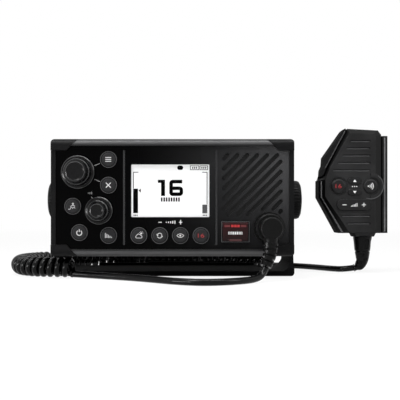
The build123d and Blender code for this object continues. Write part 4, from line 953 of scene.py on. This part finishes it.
def weather_icon(drawing):
    cloud = arc(-1.5, -1.0, 0.9, 270, 110) + arc(-0.1, -0.1, 1.4, 150, 40) + arc(1.6, -0.9, 1.0, 80, -90)
    drawing.stroke(cloud, THIN, True)
    drawing.disc(1.9, 1.7, 0.75)
    for turn in (10, 55, 100, 145):
        spoke = [(1.9 + r * cos(radians(turn)), 1.7 + r * sin(radians(turn))) for r in (1.15, 1.75)]
        drawing.stroke(spoke, FINE * 0.7)


def scan_icon(drawing):
    for half_turn in (0, 180):
        drawing.stroke(arc(0, 0, 1.9, half_turn + 25, half_turn + 150), FINE)
        tip, heel, inner = [
            (r * cos(radians(half_turn + turn)), r * sin(radians(half_turn + turn)))
            for r, turn in ((2.9, 154), (1.9, 195), (1.0, 154))
        ]
        drawing.patch([tip, heel, inner])


def watch_icon(drawing):
    upper, lower = arc(0, -2.0, 3.4, 140, 40), arc(0, 2.0, 3.4, -40, -140)
    drawing.stroke(upper + lower, THIN, True)
    drawing.disc(0, 0, 0.72)


def sixteen_icon(drawing):
    drawing.number("16", 5.0, 3.1)


ICONS = {
    "key_menu": menu_icon,
    "key_clear": back_icon,
    "key_tracks": track_icon,
    "key_power": power_icon,
    "key_squelch": squelch_icon,
    "key_weather": weather_icon,
    "key_scan": scan_icon,
    "key_watch": watch_icon,
    "key_channel_16": sixteen_icon,
}
CAP_R, RIM_R = 5.45, 6.6  # the key's raised cap and its outer edge
GROOVE_W, RIM_W = 0.45, 0.3
GROOVE_BACK, RIM_BACK = 0.55, 0.35  # how far groove and rim lie behind the cap's front
for node, icon in ICONS.items():
    drawing = on_front(node)
    x, z, cap = drawing.x, drawing.z, drawing.front
    # painted shade: a near-black ring in the groove round the cap; painted highlight: a paler ring on the
    # key's outer edge
    groove = Drawing(x, z, cap + GROOVE_BACK * MM).ring(CAP_R + GROOVE_W / 2, GROOVE_W - 0.04)
    groove.piece(node + "_groove", "key_groove_shade", node)
    rim = Drawing(x, z, cap + RIM_BACK * MM, RIM_W).ring(RIM_R - RIM_W, RIM_W)
    rim.piece(node + "_rim", "key_rim_highlight", node)
    icon(drawing)
    drawing.piece(node + "_icon", "ink_red" if node == "key_channel_16" else "ink_key", node)
print(len(ICONS), "icons")

# %% [markdown]
# The display shows a channel number and a few plain gauges. They sit on the panel, just behind the
# clear lens, which a slightly thinner pane takes the place of.

# %% Display
LCD_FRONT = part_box("lcd_panel")[0].y


def on_panel(front):
    """A drawing about the panel's middle, on something whose front lies at `front`."""
    return Drawing(0.0, PANEL_Z, front - SHOWN * MM)


LENS_GAP = 0.15  # between the pane and the panel behind it
lens_low, lens_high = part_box("display_lens")
lens_w, lens_t, lens_h = (lens_high - lens_low) / MM
pane = Drawing(*middle_of("display_lens"), lens_low.y, lens_t - LENS_GAP).bar(0, 0, lens_w, lens_h)
clear = pane.piece("display_pane", "clear_lens", "radio")
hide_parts("display_lens")

screen = on_panel(LCD_FRONT)
DIGIT_TOP, DIGIT_FOOT, DIGIT_MIDDLE, DIGIT_STROKE = 14.1, 1.3, 7.4, 2.8
ONE_LEFT, ONE_STEM, ONE_RIGHT, ONE_FLAG = -11.7, -9.1, -6.0, 2.4  # the digit 1 and its flag's height
screen.patch([
    (ONE_STEM, DIGIT_FOOT), (ONE_RIGHT, DIGIT_FOOT), (ONE_RIGHT, DIGIT_TOP),
    (ONE_LEFT, DIGIT_TOP), (ONE_LEFT, DIGIT_TOP - ONE_FLAG), (ONE_STEM, DIGIT_TOP - ONE_FLAG),
])
half = BEND = DIGIT_STROKE / 2  # the 6 is one stroke whose middle line bends by half its width
left, right, top, foot = -2.6 + half, 8.3 - half, DIGIT_TOP - half, DIGIT_FOOT + half
screen.stroke(
    [(right + 0.7, top)] + arc(left + BEND, top - BEND, BEND, 90, 180)
    + arc(left + BEND, foot + BEND, BEND, 180, 270) + arc(right - BEND, foot + BEND, BEND, 270, 360)
    + arc(right - BEND, DIGIT_MIDDLE - BEND, BEND, 0, 90) + [(left + half, DIGIT_MIDDLE)],
    DIGIT_STROKE,
)
screen.bar(-29.3, -2.6, 3.8, 19.4)
screen.patch([(-26.9, 5.6), (-25.2, 4.0), (-25.2, 7.2)])
screen.pill(6.0, 23.7, 4.7, 3.5)
for i in range(8):
    screen.bar(-8.6 + 1.95 * i, -1.5, 1.25, 3.2)
screen.piece("display_number", "lcd_dark", "radio")

gauges = on_panel(LCD_FRONT)
gauges.bar(25.5, -9.0, 3.9, 6.9)
for side, wall in ((1, -31.0), (-1, 27.3)):
    gauges.stroke([(wall, 7.3 if side > 0 else -5.4), (wall, 20.1), (wall + side * 3.9, 20.1)], 0.6)
for x, w in ((17.4, 6.8), (24.7, 6.0)):
    gauges.frame(x, 23.65, w, 3.1, 0.55)
    for i in (-1, 0, 1):
        gauges.bar(x + i * 1.5, 23.65, 0.95, 1.5)
for x in (-29.3, 25.5):
    for i in (-1, 0, 1):
        gauges.bar(x + 1.2 * i, -14.0, 0.8, 1.1)
gauges.piece("display_gauges", "lcd_grey", "radio")
print("display drawn")

# %% [markdown]
# Below the window a minus and a plus stand at the ends of a small growing scale, and thin printed
# lines point from the knobs to the keys and marks that belong to them.

# %% Faceplate marks
SCALE_Z = -19.5
below = on_panel(PANEL_FRONT)
for x, z, w, h in ((-9.8, 0, 2.6, 0.6), (6.4, 0, 2.6, 0.6), (6.4, 1.0, 0.6, 1.4), (6.4, -1.0, 0.6, 1.4)):
    below.bar(x, SCALE_Z + z, w, h)
for i in range(5):
    below.bar(-4.9 + 1.7 * i, SCALE_Z, 0.8, 0.7 + 0.45 * i)
below.piece("volume_scale", "ink_white", "radio")

POINTERS = [((-61.9, 25.2), (-57.4, 27.0)), ((-61.6, 14.6), (-57.3, 12.6)), ((-64.3, 0.7), (-62.8, -1.0))]
pointers = on_panel(PANEL_FRONT)
for line in POINTERS:
    pointers.stroke(line, 0.4)
for i, x in enumerate((-66.6, -65.3, -64.0)):
    pointers.bar(x, 3.6, 0.6, 1.0 + 0.5 * i)
pointers.piece("knob_pointers", "ink_grey", "radio")
print("faceplate marked")

# %% [markdown]
# Each edge of the two knobs gets a thin ring that lies on the chamfer, in a slightly paler and glossier
# finish. These rings are painted highlights that stand for the light lines lamps draw along the steps, so the
# steps read clearly on black rubber.

# %% Painted highlight rings on the knobs' edges
EDGE_LIFT, EDGE_STEPS = 0.04, 96
# each edge runs from one (inset from the rim, height share, height in mm) to another
KNOB_EDGES = [
    ((0.1, 0.0, 3.5), (0.55, 0.0, 3.9)),
    ((3.0, 0.666, 0.0), (3.4, 0.69, 0.0)),
    ((5.65, 1.0, -0.18), (6.1, 1.0, -0.03)),
]


def add_knob_edge_highlights(knob):
    low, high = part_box(knob)
    (x, z), rim, rise = middle_of(knob), (high.x - low.x) / 2, PANEL_FRONT - low.y
    count = 2 * EDGE_STEPS
    points, faces = [], []
    for edge in KNOB_EDGES:
        base = len(points)
        for step in range(EDGE_STEPS):
            turn = 2 * pi * step / EDGE_STEPS
            for inset, share, extra in edge:
                r = rim - (inset - EDGE_LIFT) * MM
                y = PANEL_FRONT - rise * share - (extra + EDGE_LIFT) * MM
                points.append((x + r * cos(turn), y, z + r * sin(turn)))
        for k in range(0, count, 2):
            faces.append([base + (k + i) % count for i in (0, 1, 3, 2)])
    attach(mesh_piece(knob + "_edges", points, faces, "knob_edge_highlight"), knob)


add_knob_edge_highlights("channel_knob")
add_knob_edge_highlights("volume_knob")
print(len(KNOB_EDGES), "edges on each knob")

# %% [markdown]
# The distress key has a lit band near its cover's top and the old signal of three dots, three dashes and
# three dots below it. A dull red line with a faint painted glow marks the lip that lifts the cover, and a
# thin paler grey one, a painted highlight, the edge of the frame round it.

# %% Distress marks
LIP_PROUD = 1.2  # the cover's lip, ahead of its face
BAND_Z, SIGNAL_Z = -22.4, -28.0  # from the panel's middle
SIGNAL_GAP = 0.45
FRAME_OUT = 0.55  # how far the frame's lit edge lies outside the cover
cover_x, cover_z = middle_of("distress_cover")
cover_front = cover_low.y + (LIP_PROUD - SHOWN) * MM

for name, glowing, places, w, h in (
    ("distress_band", "led_red", (-6.4, 6.4), 4.4, 1.7),
    ("distress_band_centre", "led_bright", (-2.4, 0, 2.4), 2.0, 1.9),
):
    band = Drawing(cover_x, PANEL_Z, cover_front)
    for x in places:
        band.bar(x, BAND_Z, w, h)
    band.piece(name, glowing, "distress_cover")

signal = Drawing(cover_x, PANEL_Z, cover_front)
at = -5.5
for w in [0.6] * 3 + [1.25] * 3 + [0.6] * 3:
    signal.bar(at + w / 2, SIGNAL_Z, w, 2.2)
    at += w + SIGNAL_GAP
signal.piece("distress_signal", "ink_white", "distress_cover")

pull = Drawing(cover_x, cover_low.z, cover_low.y - SHOWN * MM).pill(0, 0.9, 9.6, 1.5)
pull.piece("distress_pull", "lip_painted_glow", "distress_cover")
# painted highlight: a thin paler line along the frame's edge round the cover
edge = Drawing(cover_x, cover_z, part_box("distress_frame")[0].y - SHOWN * MM)
cover_w, _, cover_h = (cover_high - cover_low) / MM
edge.frame(0, 0, cover_w + 2 * FRAME_OUT, cover_h + 2 * FRAME_OUT, 0.35)
edge.piece("distress_edge", "edge_highlight_grey", "radio")
print("distress key marked")

# %% [markdown]
# The hand microphone's buttons carry the same kind of marks as the panel: a number in red, two
# triangles with three dots between them, a transmit sign, and a minus and a plus at the ends of a
# growing scale.

# %% Microphone marks
on_front("button_red").number("16", 5.2, 3.5).piece("button_red_mark", "ink_red", "button_red")

waves = on_front("button_round").disc(-2.0, 0, 0.55)
for r in (1.6, 2.9, 4.2):
    waves.stroke(arc(-2.0, 0, r, -42, 42), 0.55)
waves.piece("button_round_mark", "ink_white", "button_round")

for node, sign in (("button_up", 1), ("button_down", -1)):
    arrow = on_front(node).patch([(-1.5, -1.0 * sign), (1.5, -1.0 * sign), (0, 1.1 * sign)][::sign])
    arrow.piece(node + "_mark", "ink_white", node)

rocker = on_front("volume_rocker").bar(-8.3, 0, 3.4, 0.65)
rocker.patch([
    (6.6, -0.33), (7.97, -0.33), (7.97, -1.7), (8.63, -1.7), (8.63, -0.33), (10.0, -0.33),
    (10.0, 0.33), (8.63, 0.33), (8.63, 1.7), (7.97, 1.7), (7.97, 0.33), (6.6, 0.33),
])
steps(rocker, -1.5, 0.65, 0.8, 0.55)
rocker.piece("rocker_marks", "ink_white", "volume_rocker")

BOSS_PROUD = 0.8  # the ring boss, ahead of the microphone's face
hand_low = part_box("handset_front")[0]
hand_front = hand_low.y + BOSS_PROUD * MM
up_x, up_z = middle_of("button_up")
between = Drawing(up_x, (up_z + middle_of("button_down")[1]) / 2, hand_front - SHOWN * MM)
for x in (-1.8, 0, 1.8):
    between.disc(x, 0, 0.5)
between.piece("channel_mark", "ink_white", "handset")
print("microphone marked")

# %% [markdown]
# On the real microphone a studio's lamps draw light lines where its form turns. Here thin films of paler grey
# are painted highlights that stand for them: the lower lip of each groove, the ring boss's edge, a line along
# the rail, the ribs and the edge of the lever, and a narrow strip on the left bevel. Their places are given
# from a point on the microphone's lower edge.

# %% Painted highlights on the microphone
HAND_LEFT = 27.2  # from the shell's left end to that point
GROOVE_RIGHT, GROOVE_DEEP, LIP_DROP, LIP_ENDS, LIP_W = 16.3, 0.9, 0.35, 1.2, 0.55
# each groove's height and its left end
GROOVES = [(78.9, -0.8), (72.7, -4.5), (66.5, -7.9), (60.2, -11.9), (53.8, -15.8), (14.8, -8.1), (8.3, -3.3)]
origin = hand_low.x + HAND_LEFT * MM


def on_hand(front):
    """A drawing about the microphone's point, on something whose front lies at `front`."""
    return Drawing(origin, hand_low.z, front - SHOWN * MM)


lip_highlights = on_hand(hand_front + GROOVE_DEEP * MM)
for z, left in GROOVES:
    lip_highlights.bar((left + GROOVE_RIGHT) / 2, z - LIP_DROP, GROOVE_RIGHT - left - LIP_ENDS, LIP_W)
lip_highlights.piece("groove_lip_highlights", "bright_highlight_grey", "handset")
boss = on_hand(hand_low.y).stroke(arc(16.4, 40.3, 10.9, -110, 55), 0.45)
boss.piece("boss_edge_highlight", "edge_highlight_grey", "handset")
RAIL_MIDDLE, RAIL_BACK, RAIL_HIGH = 30.2, 7.3, 83.9
rail = on_hand(hand_low.y + RAIL_BACK * MM).bar(RAIL_MIDDLE, RAIL_HIGH / 2, 0.9, RAIL_HIGH - 3.0)
rail.piece("rail_highlight", "bright_highlight_grey", "handset")

RIB_TOP, RIB_FOOT, RIBS, RIB_LONG = (-3.7, 83.3), (-18.6, 56.2), 26, 1.3
ribs = on_hand(hand_front)
slope = Vector((RIB_TOP[0] - RIB_FOOT[0], RIB_TOP[1] - RIB_FOOT[1])).normalized()
for i in range(RIBS):
    share = i / (RIBS - 1)
    x, z = (a + (b - a) * share for a, b in zip(RIB_TOP, RIB_FOOT))
    ribs.stroke([(x, z), (x + slope.y * RIB_LONG, z - slope.x * RIB_LONG)], 0.4)
ribs.piece("handset_ribs", "rib_grey", "handset")
lever = on_hand(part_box("ptt_lever")[0].y).stroke([(-4.6, 88.0), (-21.6, 56.2)], 0.4)
lever.piece("lever_edge_highlight", "highlight_grey", "ptt_lever")

# the left bevel's corners on the face and on the body, and where the strip lies between them
BEVEL_FACE = [(-22.3, 45.0), (-22.3, 31.2), (-2.1, 1.3)]
BEVEL_BODY = [(-27.2, 44.6), (-27.2, 30.7), (-10.9, 0.7)]
BEVEL_DEEP, HIGHLIGHT_FROM, HIGHLIGHT_TO, HIGHLIGHT_OVER = 5.0, 0.5, 0.66, 0.06


def bevel_point(i, share):
    """A point on the left bevel, a little above its surface."""
    (x0, z0), (x1, z1) = BEVEL_FACE[i], BEVEL_BODY[i]
    out = HIGHLIGHT_OVER * 0.7 * MM
    x, z = x0 + (x1 - x0) * share, z0 + (z1 - z0) * share
    return (origin + x * MM - out, hand_front + share * BEVEL_DEEP * MM - out, hand_low.z + z * MM)


bevel_highlight_points = [bevel_point(i, share) for i in range(3) for share in (HIGHLIGHT_FROM, HIGHLIGHT_TO)]
bevel_highlight_film = mesh_piece("bevel_highlight", bevel_highlight_points, [(0, 2, 3, 1), (2, 4, 5, 3)], "highlight_grey", smooth=False)
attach(bevel_highlight_film, "handset")
print("light lines drawn")
